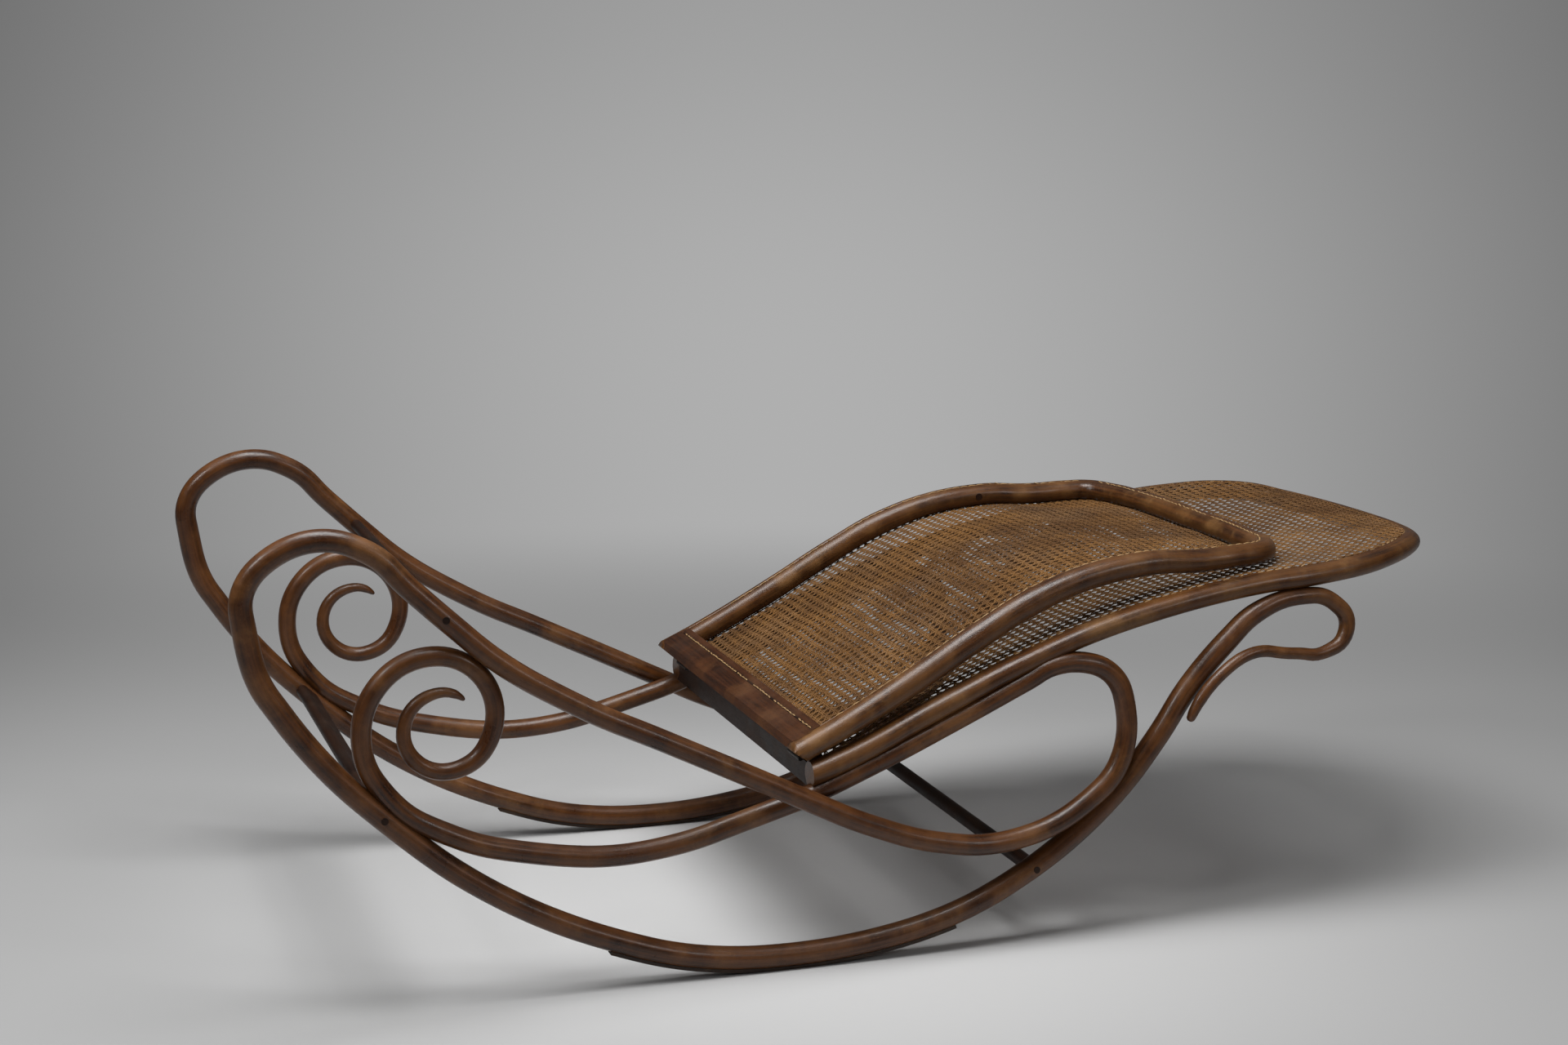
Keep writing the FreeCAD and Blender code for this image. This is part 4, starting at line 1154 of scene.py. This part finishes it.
@dataclass
class CanedBack:
    """The folded back: its bent rail, caned panel and the loops in its groove."""

    rail: FlatOvalRail = field(default_factory=lambda: FlatOvalRail(
        "back_rail_sweep", BACK_ROWS, BACK_HALF, Facing.TOP))
    hinge: HingeEnd = field(default_factory=HingeEnd)
    hole_inset: float = 0.011
    crest_start: float = 0.004
    groove_reach: float = 0.289
    groove_points: int = 90
    # Half width of the thin dark strip of painted groove shade on the head board.
    groove_half: float = 0.0016
    skin: float = 0.0004

    def build(self, palette: Palette) -> None:
        """Build and dress the back.

        Args:
            palette: The chaise's finishes.
        """
        rail = self.rail.build()
        self.hinge.trim(rail)
        dress(rail, palette.rail, "back", "seat_beech", "back_rail")
        holes = self.hinge.board_length - self.hinge.overhang - self.hole_inset
        panel = CanePanel("back_weave", self.rail, Facing.UNDERSIDE,
                          self.hinge.place(holes, 0, self.hinge.lift).x)
        dress(panel.build(), palette.cane, "back", "split_cane", "back_cane")
        course, normals = self.rail.groove_course(Facing.TOP)
        keep = course[:, 0] > self.hinge.place(holes, 0, 0).x + self.crest_start
        row = StitchRow("back_crest_loops", course[keep], normals[keep], seed=3)
        dress(row.build(), palette.stitch, "back", "split_cane")
        self.build_board_loops(palette, holes)

    def build_board_loops(self, palette: Palette, holes: float) -> None:
        """Lay the loops over the head board, on a thin dark strip of painted shade that stands for their
        groove.

        Args:
            palette: The chaise's finishes.
            holes: Distance from the axis to the head board's row of holes.
        """
        top = self.hinge.lift + self.hinge.thickness + self.skin
        across = np.linspace(-self.groove_reach, self.groove_reach, self.groove_points)
        board = np.array([self.hinge.place(holes, float(y), top) for y in across])
        rise = np.repeat(np.array(self.hinge.heading(0, 1))[None], len(board), 0)
        row = StitchRow("head_board_loops", board, rise, worn_share=0.1, seed=9)
        dress(row.build(), palette.stitch, "back", "split_cane")
        # The strip is painted shade: a dark sheet on the board where the groove's shadow would be.
        run = np.array(self.hinge.heading(1, 0))
        corners = ((1.0, 0.15), (-1.0, 0.15), (-1.0, -1.0), (1.0, -1.0))
        rings = np.stack([board + run * (a * self.groove_half) + rise * ((b - 1) * self.skin)
                          for a, b in corners], 1)
        grain = np.zeros_like(rings)
        grain[:, :, 0] = board[:, 1:2]
        strip = TubeBatch().add(rings, grain).build("head_board_groove_shade")
        dress(strip, palette.dark_board, "back", "dark_stained_beech")


class CarriedNodes:
    """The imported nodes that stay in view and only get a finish."""

    @staticmethod
    def finish(palette: Palette) -> None:
        """Assign each kept node its material.

        Args:
            palette: The chaise's finishes.
        """
        finishes = {
            "back_head_board": palette.board, "head_board_dowels": palette.board,
            "head_bar": palette.dark_board, "lower_cross_board": palette.dark_board,
            "foot_stretcher": palette.dark_board, "seat_end_board": palette.dark_board,
            "screw_plugs": palette.dark_board, "back_rail_pegs": palette.dark_board,
            "left_runner_strip": palette.runner, "right_runner_strip": palette.runner,
        }
        for name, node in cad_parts.items():
            if node.hide_render:
                continue
            material = finishes.get(name, palette.iron)
            node.data.materials.clear()
            node.data.materials.append(material)
            logging.info("%s: %s", name, material.name)


@dataclass
class Studio:
    """The floor, backdrop, lamps, world and camera of the photograph."""

    camera_place: Tuple[float, float, float] = (-1.1418, -3.2829, 1.1269)
    camera_tilt: float = 79.846
    camera_turn: float = -18.190
    lens: float = 59.606
    sensor_width: float = 36.0
    floor_outline: Tuple[Pair, ...] = (
        (0.8, 0.0), (2.0, 0.0), (4.0, 0.0), (5.0, 0.02), (6.0, 0.14), (6.9, 0.5), (7.6, 1.1),
        (8.0, 1.9), (8.2, 2.8), (8.3, 4.0), (8.3, 6.5))
    floor_step: int = 5
    world_tone: Colour = (0.8, 0.8, 0.8)
    world_strength: float = 0.18

    def build(self, palette: Palette) -> None:
        """Build everything that isn't the chaise.

        Args:
            palette: The finishes.
        """
        self.build_floor(palette)
        self.build_lamps()
        self.build_world()
        self.build_camera()

    def build_camera(self) -> None:
        """Place the camera at the photograph's viewing angle."""
        data = bpy.data.cameras.new("Camera")
        data.lens = self.lens
        data.sensor_width = self.sensor_width
        camera = bpy.data.objects.new("Camera", data)
        camera.location = self.camera_place
        camera.rotation_euler = (math.radians(self.camera_tilt), 0.0, math.radians(self.camera_turn))
        bpy.context.scene.collection.objects.link(camera)
        bpy.context.scene.camera = camera

    def build_floor(self, palette: Palette) -> None:
        """Lay a round pale floor that turns up into the backdrop all round.

        Args:
            palette: The finishes.
        """
        mesh = bpy.data.meshes.new("floor")
        form = bmesh.new()
        turns = [math.radians(turn) for turn in range(0, 360, self.floor_step)]
        rings = [[form.verts.new((radius * math.cos(turn), radius * math.sin(turn), height)) for turn in turns]
                 for radius, height in self.floor_outline]
        form.faces.new(rings[0])
        for low, high in zip(rings[:-1], rings[1:]):
            for index, corner in enumerate(low):
                after = (index + 1) % len(low)
                form.faces.new((corner, high[index], high[after], low[after]))
        form.to_mesh(mesh)
        form.free()
        mesh.shade_smooth()
        floor = bpy.data.objects.new("floor", mesh)
        bpy.context.scene.collection.objects.link(floor)
        floor.data.materials.append(palette.paper)

    @staticmethod
    def build_lamps() -> None:
        """Hang soft panels over and beside the chaise."""
        lamps = (
            ("top_panel", (-0.4, -0.5, 3.0), (0.0, 0.1, 0.1), 1.9, 1.3, 90.0),
            ("left_panel", (-2.6, -1.0, 2.6), (-0.1, 0.0, 0.3), 0.7, 0.7, 28.0),
            ("front_panel", (2.0, -3.4, 2.4), (0.0, 0.0, 0.3), 0.9, 0.9, 18.0),
        )
        for name, place, aim, width, depth, power in lamps:
            data = bpy.data.lights.new(name, "AREA")
            data.shape = "RECTANGLE"
            data.size = width
            data.size_y = depth
            data.energy = power
            lamp = bpy.data.objects.new(name, data)
            lamp.location = place
            lamp.rotation_euler = (Vector(aim) - Vector(place)).to_track_quat("-Z", "Y").to_euler()
            bpy.context.scene.collection.objects.link(lamp)

    def build_world(self) -> None:
        """Fill the shadows with a plain grey world."""
        world = bpy.data.worlds.new("Studio_World")
        bpy.context.scene.world = world
        world.use_nodes = True
        NodeSheet(world.node_tree).fill(world.node_tree.nodes["Background"], Color=self.world_tone,
                                        Strength=self.world_strength)


def main() -> None:
    """Build the chaise and its studio."""
    logging.basicConfig(level=logging.INFO, format="%(message)s")
    bpy.context.scene.view_settings.view_transform = "Standard"
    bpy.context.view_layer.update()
    palette = Palette()
    Studio().build(palette)
    for side in (1, -1):
        SideFrame(side).build(palette)
    CanedSeat().build(palette)
    CanedBack().build(palette)
    CarriedNodes.finish(palette)
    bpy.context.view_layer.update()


if __name__ == "__main__":
    main()
